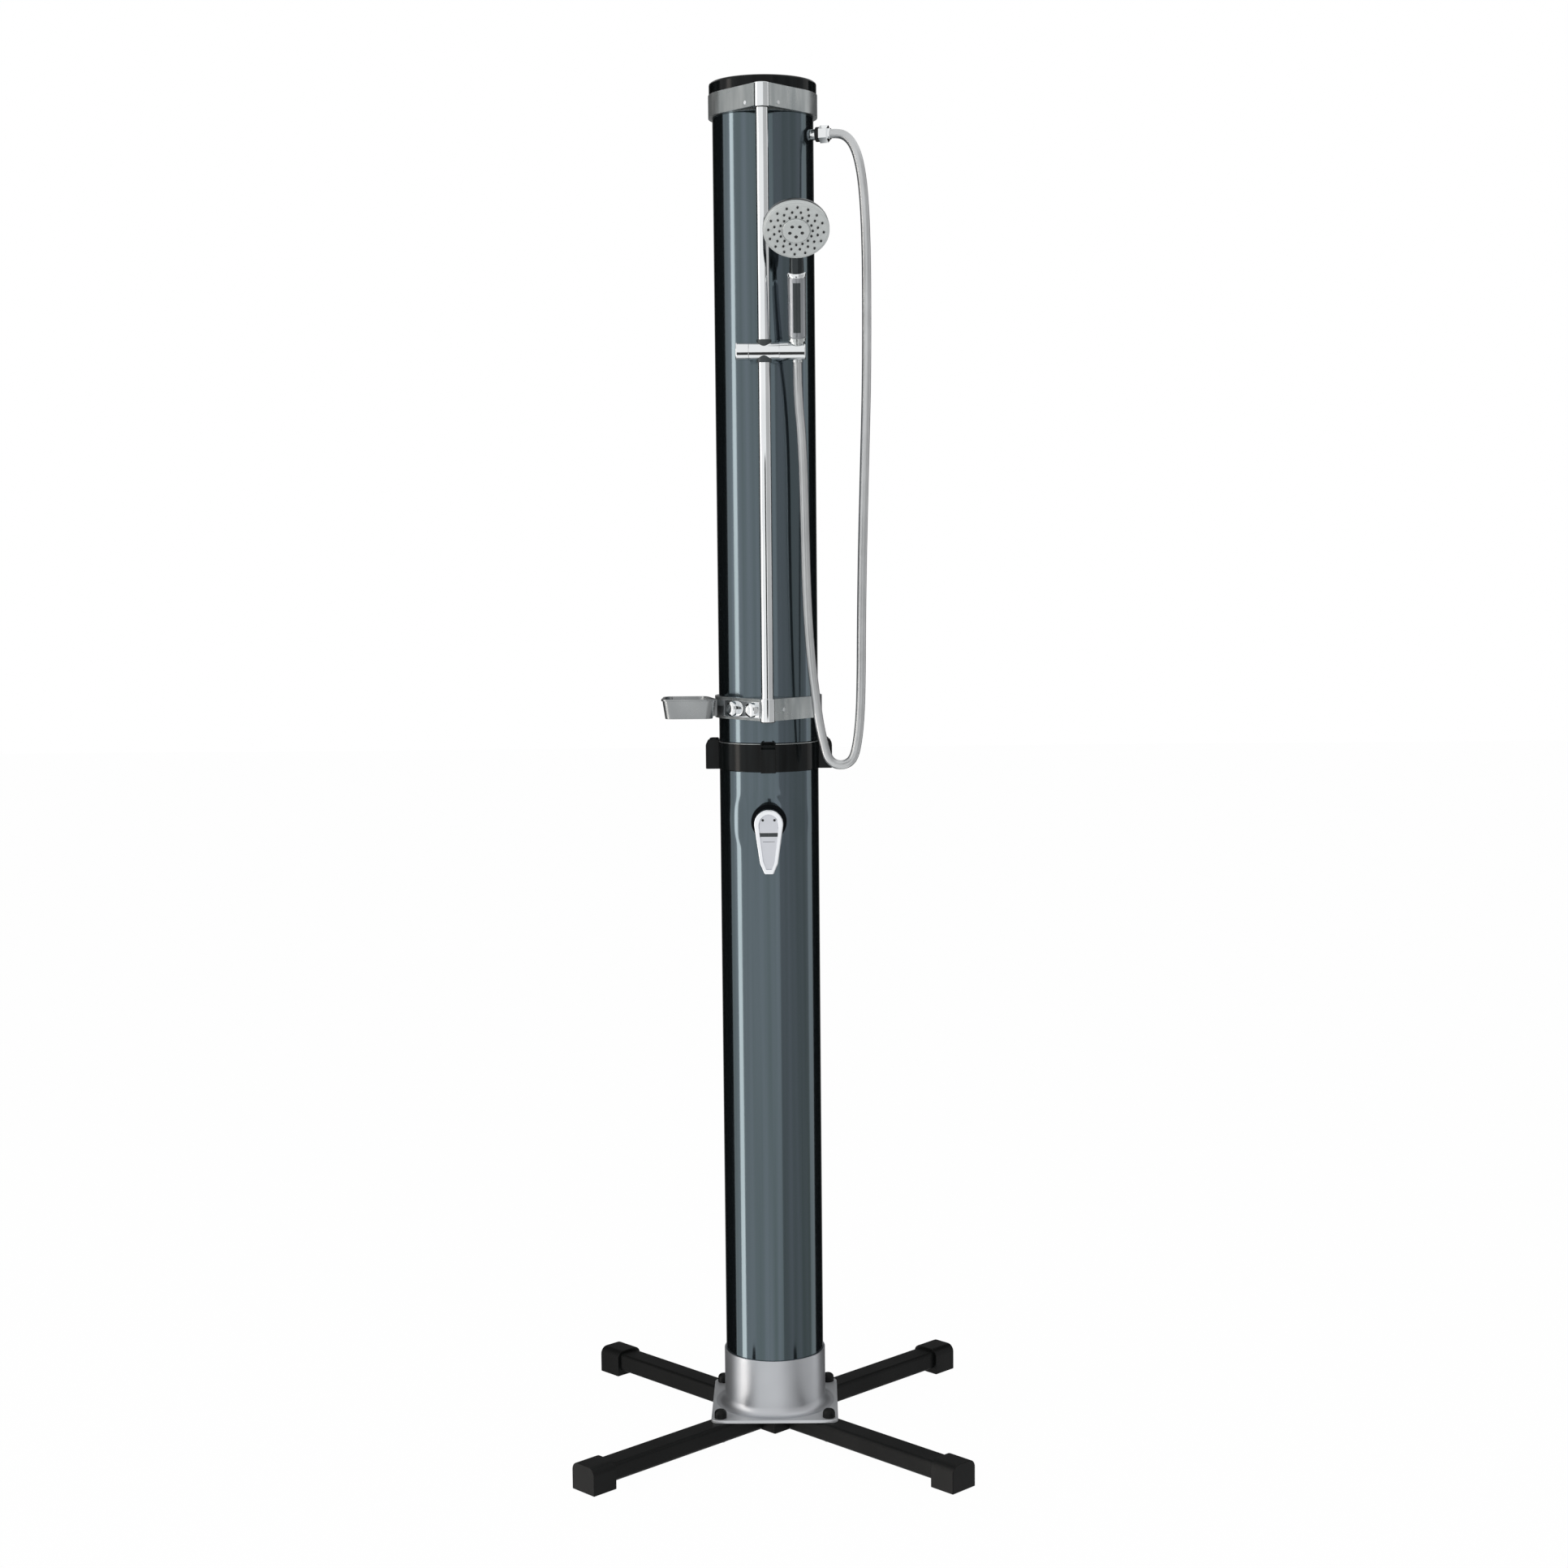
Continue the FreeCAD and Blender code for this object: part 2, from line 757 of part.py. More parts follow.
def build_upper_tube():
    """Upper tank tube, drilled for the hose outlet."""
    height = tube_top - collar_top
    wall = turned("upper_tube_wall",
                  [(tube_bore, collar_top), (tube_radius, collar_top), (tube_radius, tube_top),
                                      (tube_bore, tube_top)])
    hole = cylinder("outlet_hole", d.outlet_stub_diameter / 2 - 2, tube_radius + d.tube_wall)
    aim_at_outlet(hole, 0)
    finish(cut("upper_tube_cut", wall, hole), "upper_tube")


def build_plugs():
    """Glued end plugs that close the tank at both ends."""
    radius = tube_bore - d.push_gap
    inner = radius - d.plug_wall
    foot = turned("base_plug_body",
                  [(0, plate_top), (radius, plate_top), (radius, plate_top + d.plug_depth),
                   (inner, plate_top + d.plug_depth), (inner, plate_top + d.plug_wall),
                   (0, plate_top + d.plug_wall)])
    finish(foot, "base_plug")
    low = tube_top - d.plug_depth
    head = turned("top_plug_body",
                  [(0, low), (radius, low), (radius, tube_top), (inner, tube_top),
                   (inner, low + d.plug_wall), (0, low + d.plug_wall)])
    finish(head, "top_plug")


def build_union():
    """Threaded couplers, flat seal and the lugged nut that joins the two tubes."""
    insert = tube_bore - d.push_gap
    bore = insert - d.coupler_wall
    nut_outer = tube_radius + d.collar_proud
    nut_bore = nut_outer - d.collar_wall
    thread = nut_bore - d.push_gap
    thread_top = d.collar_bottom + d.thread_length
    seal_top = thread_top + d.seal_thickness
    flange_top = seal_top + d.flange_thickness
    neck = bore + d.coupler_wall / 2 + 1
    lower = fuse("lower_coupler_solid",
                 pipe("lower_coupler_insert", insert, bore, d.collar_bottom - d.coupler_depth,
                      d.collar_bottom),
                 pipe("lower_coupler_thread", thread, bore, d.collar_bottom, thread_top))
    finish(lower, "lower_coupler")
    finish(pipe("coupler_seal_body", thread - 1, bore, thread_top, seal_top), "coupler_seal")
    upper = fuse("upper_coupler_solid",
                 pipe("upper_coupler_flange", thread, bore, seal_top, flange_top),
                 pipe("upper_coupler_neck", neck, bore, flange_top, collar_top),
                 pipe("upper_coupler_insert", insert, bore, collar_top, collar_top + d.coupler_depth))
    finish(upper, "upper_coupler")
    ring = turned("collar_ring",
                  [(nut_bore, d.collar_bottom), (nut_outer, d.collar_bottom), (nut_outer, collar_top),
                   (neck + d.push_gap, collar_top), (neck + d.push_gap, flange_top + d.push_gap),
                   (nut_bore, flange_top + d.push_gap)])
    lugs = [build_lug(f"lug_{number}", 360 / LUG_COUNT * number) for number in range(LUG_COUNT)]
    finish(fuse("union_nut_solid", ring, *lugs), "union_nut")


def build_lug(name, turn):
    """Grip lug of the union nut: a rounded ear, open at the top."""
    half = d.lug_width / 2
    ear = block(f"{name}_block", (tube_radius + d.push_gap, d.lug_reach), (-half, half),
                (d.collar_bottom, d.collar_bottom + d.lug_height))
    reach = float(d.lug_reach)
    rounded = round_shape(
        f"{name}_rounded", ear, d.lug_corner,
        lambda edge: runs_along(edge, Y_AXIS) and edge.CenterOfMass.x > reach - 1
        and edge.CenterOfMass.z > float(collar_top))
    wall = (d.lug_reach - tube_radius - d.collar_proud - d.lug_pocket) / 2
    pocket = block(f"{name}_pocket", (d.lug_reach - wall - d.lug_pocket, d.lug_reach - wall),
                   (wall - half, half - wall), (d.collar_bottom + wall, d.collar_bottom + d.lug_height))
    hollow = cut(f"{name}_hollow", rounded, pocket)
    return place(hollow, axis=Z_AXIS, angle=turn)


def build_top_cap():
    """Gloss cap that closes the top of the post."""
    outer = tube_radius + d.cap_proud
    cap = turned("top_cap_body",
                 [(0, d.post_height - d.cap_top), (tube_radius + d.push_gap, d.post_height - d.cap_top),
                  (tube_radius + d.push_gap, cap_bottom), (outer, cap_bottom), (outer, d.post_height),
                  (0, d.post_height)])
    round_body(cap, d.cap_round, lambda edge: is_circle(edge, outer, d.post_height))
    finish(cap, "top_cap")


# ---------------------------------------------------------------- brackets and rail

def tangent_plan(ring_radius, boss_radius):
    """Corners where straight plates touch the ring and the rail boss."""
    across = sine(plate_turn)
    forward = cosine(plate_turn)
    return [
        (-ring_radius * across, -ring_radius * forward),
        (-boss_radius * across, -d.rail_offset - boss_radius * forward),
        (boss_radius * across, -d.rail_offset - boss_radius * forward),
        (ring_radius * across, -ring_radius * forward),
    ]


def build_bracket(side, low):
    """Tear-shaped bracket: a band round the tube, two straight plates and the rail boss."""
    boss_radius = d.boss_diameter / 2
    band = cylinder(f"{side}_band", bracket_radius, d.bracket_height)
    boss = place(cylinder(f"{side}_boss", boss_radius, d.bracket_height), y=-d.rail_offset)
    plates = prism(f"{side}_plates", tangent_plan(bracket_radius, boss_radius), d.bracket_height)
    outer = fuse(f"{side}_outer", band, boss, plates)
    inner_plates = prism(f"{side}_hollow_plan",
                         tangent_plan(bracket_radius - d.bracket_wall, boss_radius - d.bracket_wall),
                         d.bracket_height - d.bracket_floor)
    keep_band = cylinder(f"{side}_keep_band", tube_radius + d.bracket_wall, d.bracket_height)
    keep_boss = place(cylinder(f"{side}_keep_boss", boss_radius, d.bracket_height), y=-d.rail_offset)
    hollow = cut(f"{side}_hollow", inner_plates, fuse(f"{side}_keep", keep_band, keep_boss))
    tube_hole = place(cylinder(f"{side}_tube_hole", tube_radius + d.push_gap, d.bracket_height * 2),
                      z=-d.bracket_height / 2)
    rail_hole = cylinder(f"{side}_rail_hole", rail_radius + d.push_gap, d.bracket_height)
    if side == "upper":
        place(rail_hole, y=-d.rail_offset, z=-d.bracket_floor)
    else:
        place(rail_hole, y=-d.rail_offset, z=d.bracket_floor)
    screw_holes = []
    for number, (mirrored, height) in enumerate(screw_places(side)):
        hole = place(cylinder(f"{side}_screw_hole_{number}", d.bracket_screw_diameter / 2 + d.push_gap / 2,
                              d.bracket_wall * 2), z=-d.bracket_wall * 1.5)
        screw_holes.append(aim_outward(group(f"{side}_screw_hole_group_{number}", [hole]),
                                       d.bracket_screw_along, 0,
                                       height, mirrored))
    bracket = cut(f"{side}_bracket_cut", outer,
                  fuse(f"{side}_cutters", hollow, tube_hole, rail_hole, *screw_holes))
    place(bracket, z=low)
    finish(bracket, f"{side}_bracket")


def plate_frame(along, out):
    """The x and y of a place on the left plate, from the rail boss and out of the plate."""
    radius = d.boss_diameter / 2
    return (-(radius + out) * sine(plate_turn) - along * cosine(plate_turn),
            -d.rail_offset - (radius + out) * cosine(plate_turn) + along * sine(plate_turn))


def aim_outward(thing, along, out, height, mirrored=False):
    """Stand a piece, made along +Z, on a bracket plate, pointing out of it."""
    x, y = plate_frame(as_size(along), as_size(out))
    turn = float(plate_turn)
    face = FreeCAD.Rotation(Z_AXIS, turn if mirrored else -turn) * FreeCAD.Rotation(X_AXIS, 90)
    place(thing, -x if mirrored else x, y, height)
    thing.Placement.Rotation = face
    return thing


def screw_places(side):
    """The plates of a bracket that carry a screw, and the screws' height over its bottom."""
    if side == "upper":
        return [(False, d.bracket_screw_rise), (True, d.bracket_screw_rise)]
    return [(True, d.bracket_height / 2)]


def build_bracket_screws():
    """Round-headed screws through the bracket plates."""
    pieces = []
    for side, low in (("upper", upper_bracket_bottom), ("lower", d.lower_bracket_bottom)):
        for number, (mirrored, height) in enumerate(screw_places(side)):
            name = f"{side}_screw_{number}"
            head = cylinder(f"{name}_head", d.bracket_screw_head / 2, d.bracket_screw_cap)
            shank = place(cylinder(f"{name}_shank", d.bracket_screw_diameter / 2, d.bracket_wall),
                          z=-d.bracket_wall)
            pieces.append(aim_outward(fuse(name, head, shank), d.bracket_screw_along, 0, low + height,
                                      mirrored))
    finish(group("bracket_screw_group", pieces), "bracket_screws")


def build_rail():
    """Slide rail between the two bracket bosses."""
    low = d.lower_bracket_bottom + d.bracket_floor
    high = cap_bottom - d.bracket_floor
    rail = pipe("rail_tube", rail_radius, rail_radius - d.rail_wall, low, high)
    place(rail, y=-d.rail_offset)
    finish(rail, "slide_rail")


# ---------------------------------------------------------------- slider

def along_x(thing, start=0):
    """Lay a piece, made along +Z, on the slider's axis with its foot at a place along X."""
    return place(thing, x=start, y=-d.rail_offset, z=d.slider_level, axis=Y_AXIS, angle=90)


def build_slider():
    bush_radius = d.bush_diameter / 2
    bush = pipe("bush_tube", bush_radius, rail_radius + d.run_gap, -d.bush_height / 2, d.bush_height / 2)
    place(bush, y=-d.rail_offset, z=d.slider_level)
    finish(bush, "slider_bush")

    barrel = along_x(cylinder("slider_barrel", d.slider_diameter / 2, d.slider_half * 2), -d.slider_half)
    bush_hole = place(cylinder("slider_bush_hole", bush_radius + d.run_gap, d.slider_diameter * 2),
                      y=-d.rail_offset, z=d.slider_level - d.slider_diameter)
    screw_hole = along_x(cylinder("slider_screw_hole", d.pivot_diameter / 2 + d.run_gap, d.slider_half),
                         -d.slider_half)
    pivot = along_x(cylinder("holder_pivot", d.pivot_diameter / 2, d.pivot_length), d.slider_half)
    drilled = cut("slider_drilled", barrel, fuse("slider_cutters", bush_hole, screw_hole))
    finish(fuse("slider_body_solid", drilled, pivot), "slider_body")

    knob_start = d.slider_half + d.run_gap
    knob = along_x(cylinder("knob_blank", d.slider_diameter / 2, d.knob_end - knob_start), -d.knob_end)
    knob = round_shape("knob_round", knob, 2, lambda edge: edge.CenterOfMass.x < -float(d.knob_end) + 0.1
                       and edge.Curve.TypeId == "Part::GeomCircle")
    stem_length = knob_start - bush_radius - d.run_gap
    stem = along_x(cylinder("knob_stem", d.pivot_diameter / 2, stem_length), -knob_start)
    finish(fuse("clamp_knob_solid", knob, stem), "clamp_knob")

    start = d.slider_half + d.run_gap
    barrel = along_x(cylinder("holder_barrel", d.holder_diameter / 2, d.holder_end - start), start)
    barrel = round_shape("holder_round", barrel, 2,
                         lambda edge: edge.CenterOfMass.x > float(d.holder_end) - 0.1
                         and edge.Curve.TypeId == "Part::GeomCircle")
    socket = along_x(cylinder("holder_socket", d.pivot_diameter / 2 + d.run_gap,
                              d.pivot_length + d.run_gap), d.slider_half)
    bore = cone("holder_bore", cone_radius(-d.holder_diameter) + d.run_gap,
                cone_radius(d.holder_diameter) + d.run_gap,
                d.holder_diameter * 2)
    lean_with_handset(bore, -d.holder_diameter)
    slot = block("holder_slot_block", (0, d.holder_end), (-d.holder_slot / 2, d.holder_slot / 2),
                 (-d.holder_diameter, d.holder_diameter))
    slot = group("holder_slot_group", [slot])
    lean_with_handset(slot, 0)
    finish(cut("holder_cut", barrel, fuse("holder_cutters", socket, bore, slot)), "handset_holder")


def cone_radius(height):
    """Radius of the hose cone at a height over the holder's axis."""
    bottom = d.cone_rise - d.cone_length
    slope = (d.cone_top_diameter - d.cone_bottom_diameter) / 2 / d.cone_length
    return d.cone_bottom_diameter / 2 + slope * (as_size(height) - bottom)


# ---------------------------------------------------------------- hand shower

def lean_with_handset(thing, height=0):
    """Place a piece, made upright, on the hand shower's leaning axis."""
    return place(thing, d.holder_bore_place, -d.rail_offset - height * sine(d.handset_lean),
                 d.slider_level + height * cosine(d.handset_lean), X_AXIS, d.handset_lean)


def face_back(thing):
    """Place a piece, made with its axis up from the face, on the tilted head."""
    forward = d.face_forward * cosine(d.handset_lean) + d.face_rise * sine(d.handset_lean)
    rise = d.face_rise * cosine(d.handset_lean) - d.face_forward * sine(d.handset_lean)
    return place(thing, d.holder_bore_place, -d.rail_offset - forward, d.slider_level + rise,
                 X_AXIS, d.handset_lean + d.head_tilt - 90)


def build_handset():
    handle_bottom = d.cone_rise + d.cone_flange_height
    handle_radius = d.handle_diameter / 2
    flange_radius = d.cone_flange_diameter / 2
    bottom = d.cone_rise - d.cone_length

    hose_cone = turned("hose_cone_body",
                       [(d.hose_bore / 2, bottom), (d.cone_bottom_diameter / 2, bottom),
                        (d.cone_top_diameter / 2, d.cone_rise), (flange_radius, d.cone_rise),
                        (flange_radius, handle_bottom), (d.hose_bore / 2, handle_bottom)])
    finish(lean_with_handset(hose_cone), "hose_cone")

    handle = turned("handle_body",
                    [(d.hose_bore / 2, handle_bottom), (handle_radius, handle_bottom),
                     (handle_radius, d.handle_top), (d.hose_bore / 2, d.handle_top)])
    round_body(handle, d.handle_round, lambda edge: is_circle(edge, handle_radius, handle_bottom))
    groove = block("handle_groove", (-d.inlay_width / 2, d.inlay_width / 2),
                   (-handle_radius * 2, d.inlay_depth - handle_radius), (d.inlay_bottom, d.inlay_top))
    finish(lean_with_handset(cut("handle_grooved", handle, groove)), "handset_handle")

    inlay_blank = cylinder("inlay_blank", handle_radius - 0.2, d.handle_top)
    inlay_box = block("inlay_box", (-d.inlay_width / 2, d.inlay_width / 2),
                      (-handle_radius * 2, d.inlay_depth - handle_radius), (d.inlay_bottom, d.inlay_top))
    finish(lean_with_handset(common("inlay_cut", inlay_blank, inlay_box)), "handle_inlay")

    ring_top = d.handle_top + d.neck_ring_height
    ring = turned("neck_ring_body",
                  [(d.hose_bore / 2, d.handle_top), (handle_radius, d.handle_top),
                   (d.neck_ring_diameter / 2, d.handle_top + 1.5), (d.neck_ring_diameter / 2, ring_top - 2),
                   (handle_radius - 1, ring_top), (d.hose_bore / 2, ring_top)])
    finish(lean_with_handset(ring), "neck_ring")

    build_head(ring_top)
    build_spray_face()


def build_head(neck_bottom):
    """Head shell with the neck that carries it."""
    radius = d.head_diameter / 2 - 0.5
    low = d.dial_depth + d.run_gap
    shell = turned("head_shell", [(0, low), (radius, low), (radius, d.head_depth), (0, d.head_depth)])
    round_body(shell, d.head_round, lambda edge: is_circle(edge, radius, d.head_depth))
    face_back(shell)
    neck_radius = d.neck_diameter / 2
    sections = []
    for number, (back, rise, share, tilt) in enumerate(NECK_SECTIONS):
        circle = document.addObject("Part::Circle", f"neck_circle_{number}")
        bind(circle, "Radius", neck_radius * share)
        place(circle, 0, back, neck_bottom + rise, X_AXIS, tilt)
        sections.append(circle)
    neck = document.addObject("Part::Loft", "neck_loft")
    neck.Sections = sections
    neck.Solid = True
    lean_with_handset(neck)
    finish(fuse("handset_head_solid", shell, neck), "handset_head")


# Circles of the neck: how far back, how far up, the share of its radius and the tilt.
NECK_SECTIONS = [(0, 0, 1, 0), (2.5, 16, 0.95, 0), (5, 30, 0.9, 4), (-1, 44, 0.8, 24)]


def build_spray_face():
    """Turning spray dial with its rubber nozzles and the middle jet plate."""
    radius = d.head_diameter / 2
    seat_radius = d.hub_disc_diameter / 2
    dial = turned("spray_dial_body",
                  [(0, d.hub_seat_depth), (seat_radius, d.hub_seat_depth), (seat_radius, 0), (radius, 0),
                   (radius, d.dial_depth), (0, d.dial_depth)])
    round_body(dial, d.dial_round, lambda edge: is_circle(edge, radius, 0))
    finish(face_back(dial), "spray_dial")

    nozzles = []
    for arm in range(NOZZLE_ARMS):
        for step in range(NOZZLES_PER_ARM):
            angle = math.radians(360 / NOZZLE_ARMS * arm + NOZZLE_SWIRL * step)
            reach = d.nozzle_inner_circle + d.nozzle_circle_step * step
            nub = cone(f"nozzle_{arm}_{step}", d.nozzle_diameter * 0.35, d.nozzle_diameter / 2,
                       d.nozzle_proud)
            nozzles.append(place(nub, reach * math.cos(angle), reach * math.sin(angle), -d.nozzle_proud))
    finish(face_back(group("nozzle_group", nozzles)), "spray_nozzles")

    plate = turned("jet_plate_body",
                   [(0, -d.hub_disc_proud), (seat_radius - 1.5, -d.hub_disc_proud),
                    (seat_radius - d.push_gap, 0),
                    (seat_radius - d.push_gap, d.hub_seat_depth), (0, d.hub_seat_depth)])
    holes = []
    for number in range(JET_COUNT):
        angle = math.radians(90 + 360 / JET_COUNT * number)
        hole = cylinder(f"jet_{number}", d.jet_diameter / 2, d.jet_depth + d.hub_disc_proud)
        place(hole, d.jet_circle / 2 * math.cos(angle), d.jet_circle / 2 * math.sin(angle),
              -d.hub_disc_proud * 2)
        holes.append(hole)
    finish(face_back(cut("jet_plate_cut", plate, fuse("jet_holes", *holes))), "jet_plate")


# ---------------------------------------------------------------- hose and its outlet

def aim_at_outlet(thing, start):
    """Lay a piece, made along +Z, on the hose outlet's axis."""
    turn = -d.outlet_angle
    place(thing, start * cosine(turn), start * sine(turn), outlet_level)
    thing.Placement.Rotation = FreeCAD.Rotation(Z_AXIS, float(turn)) * FreeCAD.Rotation(Y_AXIS, 90)
    return thing


def build_outlet():
    """Threaded outlet stub, its washer, inner locknut and the hose's own nut and ferrule."""
    bore = d.hose_bore / 2
    thread = d.outlet_stub_diameter / 2 - 2 - d.push_gap
    stub = d.outlet_stub_diameter / 2
    stub_end = tube_radius + d.outlet_stub_length
    washer_end = stub_end + d.outlet_washer_length
    nut_end = washer_end + d.outlet_nut_length
    ferrule_end = nut_end + d.ferrule_length
    inside = tube_bore - d.locknut_height - 3
    nipple = turned("outlet_nipple_body",
                    [(bore, inside), (thread, inside), (thread, tube_radius), (stub, tube_radius),
                     (stub, stub_end), (thread, stub_end), (thread, nut_end - 5), (bore, nut_end - 5)])
    finish(aim_at_outlet(nipple, as_size(0)), "outlet_nipple")
    washer = turned("outlet_washer_body",
                    [(thread + d.push_gap, stub_end), (d.outlet_washer_diameter / 2, stub_end),
                     (d.outlet_washer_diameter / 2, washer_end), (thread + d.push_gap, washer_end)])
    finish(aim_at_outlet(washer, as_size(0)), "outlet_washer")
    locknut = hexagon("locknut_blank", d.locknut_flats, d.locknut_height)
    locknut_bore = cylinder("locknut_bore", thread + d.push_gap, d.locknut_height)
    finish(aim_at_outlet(cut("locknut_cut", locknut, locknut_bore), tube_bore - d.locknut_height - 1.5),
           "outlet_locknut")
    nut_blank = place(hexagon("hose_nut_blank", d.outlet_nut_flats, d.outlet_nut_length), z=washer_end)
    thread_bore = place(cylinder("hose_nut_bore", thread + d.push_gap, d.outlet_nut_length - 5),
                        z=washer_end)
    ferrule = place(cylinder("hose_ferrule", d.ferrule_diameter / 2, d.ferrule_length), z=nut_end)
    water = place(cylinder("hose_nut_water", bore, d.outlet_nut_length + d.ferrule_length), z=washer_end)
    joined = fuse("hose_nut_joined", nut_blank, ferrule)
    nut = cut("hose_nut_cut", joined, fuse("hose_nut_cutters", thread_bore, water))
    finish(aim_at_outlet(nut, as_size(0)), "hose_nut")


def route_wire(points):
    """Straight runs joined by tangent arcs, each as large as its two runs allow."""
    corners = [FreeCAD.Vector(*point) for point in points]
    edges = []
    radii = []
    here = corners[0]
    for before, corner, after in zip(corners, corners[1:], corners[2:]):
        run_in = corner - before
        run_out = after - corner
        half_turn = run_in.getAngle(run_out) / 2
        trim = 0.45 * min(run_in.Length, run_out.Length)
        run_in.normalize()
        run_out.normalize()
        start = corner - run_in * trim
        end = corner + run_out * trim
        radius = trim / math.tan(half_turn)
        inward = (run_out - run_in).normalize()
        middle = corner + inward * (radius / math.cos(half_turn) - radius)
        edges.append(Part.LineSegment(here, start).toShape())
        edges.append(Part.Arc(start, middle, end).toShape())
        radii.append(round(radius))
        here = end
    edges.append(Part.LineSegment(here, corners[-1]).toShape())
    return Part.Wire(edges), radii


def build_hose():
    """Shower hose, from the ferrule at the outlet to the cone under the hand shower."""
    lean = math.radians(float(d.handset_lean))
    bottom = float(d.cone_rise) - float(d.cone_length) - float(d.run_gap)
    end = FreeCAD.Vector(float(d.holder_bore_place), -float(d.rail_offset) - bottom * math.sin(lean),
                         float(d.slider_level) + bottom * math.cos(lean))
    down = FreeCAD.Vector(0, math.sin(lean), -math.cos(lean))
    turn = math.radians(float(d.outlet_angle))
    reach = float(tube_radius) + float(d.outlet_stub_length + d.outlet_washer_length + d.outlet_nut_length
                                       + d.ferrule_length)
    outward = FreeCAD.Vector(math.cos(turn), -math.sin(turn), 0)
    start = outward * reach + FreeCAD.Vector(0, 0, float(outlet_level))
    points = [tuple(start)] + HOSE_ROUTE + [tuple(end + down * HOSE_END_RUN), tuple(end)]
    wire, radii = route_wire(points)
    section = Part.Wire(Part.makeCircle(float(d.hose_diameter) / 2, start, outward))
    tube = wire.makePipeShell([section], True, False)
    print("hose radii", radii)
    print("hose length", round(wire.Length), "volume share",
          round(tube.Volume / (wire.Length * math.pi * (float(d.hose_diameter) / 2) ** 2), 4))
    hose = document.addObject("Part::Feature", "shower_hose_tube")
    hose.Shape = tube
    finish(hose, "shower_hose")


# ---------------------------------------------------------------- mixer

def outward(thing, start=0):
    """Lay a piece, made along +Z, on the mixer's axis, pointing out of the front."""
    return place(thing, y=-as_size(start), z=d.mixer_level, axis=X_AXIS, angle=90)


def build_mixer():
    """Mixer body with its ports, the pipes, the cartridge and everything in front of it."""
    cartridge_back = mixer_face - d.cartridge_length
    radius = d.cartridge_diameter / 2
    body_front = cartridge_back + 12
    body_back = body_front - d.mixer_body_length
    blank = outward(cylinder("mixer_body_blank", d.mixer_body_diameter / 2, d.mixer_body_length), body_back)
    seat = outward(cylinder("mixer_body_seat", radius + d.push_gap, 12), cartridge_back)
    port_back = body_back + d.port_diameter / 2 + 2
    ports = []
    sockets = []
    for name, (side, upwards) in MIXER_PORTS.items():
        level = d.mixer_level if upwards else d.mixer_level - d.port_length
        mouth = d.mixer_level + d.port_length - d.port_socket if upwards else level
        port = cylinder(f"{name}_port", d.port_diameter / 2, d.port_length)
        ports.append(place(port, x=d.pipe_spread / 2 * side, y=-port_back, z=level))
        socket = cylinder(f"{name}_socket", d.pipe_diameter / 2 + d.push_gap, d.port_socket)
        sockets.append(place(socket, x=d.pipe_spread / 2 * side, y=-port_back, z=mouth))
    solid = fuse("mixer_body_joined", blank, *ports)
    finish(cut("mixer_body_cut", solid, fuse("mixer_body_cutters", seat, *sockets)), "mixer_body")
    build_pipes(port_back)

    spindle_seat = pivot_place - 10
    cartridge = turned("cartridge_body",
                       [(0, 0), (radius, 0), (radius, d.cartridge_length),
                        (d.spindle_diameter / 2 + d.run_gap, d.cartridge_length),
                        (d.spindle_diameter / 2 + d.run_gap, d.cartridge_length - 10),
                        (0, d.cartridge_length - 10)])
    finish(outward(cartridge, cartridge_back), "mixer_cartridge")
    build_cover()
    build_spindle(mixer_face - 10)
    build_lever()


def build_pipes(back):
    """Pipes inside the tank: cold feed, hot return and the mixed water's riser."""
    outer = d.pipe_diameter / 2
    inner = outer - d.pipe_wall
    below = d.mixer_level - d.port_length + d.port_socket
    above = d.mixer_level + d.port_length - d.port_socket
    runs = {
        "cold_pipe": (-1, plate_top + d.plug_wall + d.pipe_end_gap, below),
        "hot_pipe": (-1, above, tube_top - d.plug_depth - d.pipe_end_gap * 3),
        "mixed_pipe": (1, above, outlet_level - d.pipe_end_gap * 1.5),
    }
    for name, (side, low, high) in runs.items():
        run = pipe(f"{name}_tube", outer, inner, low, high)
        finish(place(run, x=d.pipe_spread / 2 * side, y=-back), name)


def build_cover():
    """Domed ring that holds the cartridge and that the lever's skirt slides over."""
    centre = pivot_place - mixer_face
    ball = place(sphere("cover_ball", d.cover_sphere / 2), z=centre)
    foot = cylinder("cover_foot", d.cover_sphere / 2, centre)
    joined = fuse("cover_joined", ball, foot)
    below = block("cover_below", (-d.cover_sphere, d.cover_sphere), (-d.cover_sphere, d.cover_sphere),
                  (-d.cover_sphere, 0))
    opening = place(cylinder("cover_hole", d.cover_opening / 2, d.cover_sphere * 2), z=-d.cover_sphere)
    ring = cut("cover_cut", joined, fuse("cover_cutters", below, opening))
    finish(outward(ring, mixer_face), "cartridge_cover")


def build_spindle(start):
    """Turning spindle of the cartridge, slotted for the lever's stem, with its cross pin."""
    radius = d.spindle_diameter / 2
    length = pivot_place - start + 5
    blank = cylinder("spindle_blank", radius, length)
    slot = block("spindle_slot", (-d.stem_width / 2 - d.run_gap, d.stem_width / 2 + d.run_gap),
                 (-radius * 2, radius * 2),
                 (length - 12, length * 2))
    pin_hole = cylinder("spindle_pin_hole", d.pin_diameter / 2, d.spindle_diameter * 2)
    place(pin_hole, x=-d.spindle_diameter, z=pivot_place - start, axis=Y_AXIS, angle=90)
    finish(outward(cut("spindle_cut", blank, fuse("spindle_cutters", slot, pin_hole)), start),
           "mixer_spindle")
    pin = cylinder("pin_rod", d.pin_diameter / 2, d.spindle_diameter - 1)
    place(pin, x=-(d.spindle_diameter - 1) / 2, y=-pivot_place, z=d.mixer_level, axis=Y_AXIS, angle=90)
    finish(pin, "lever_pin")


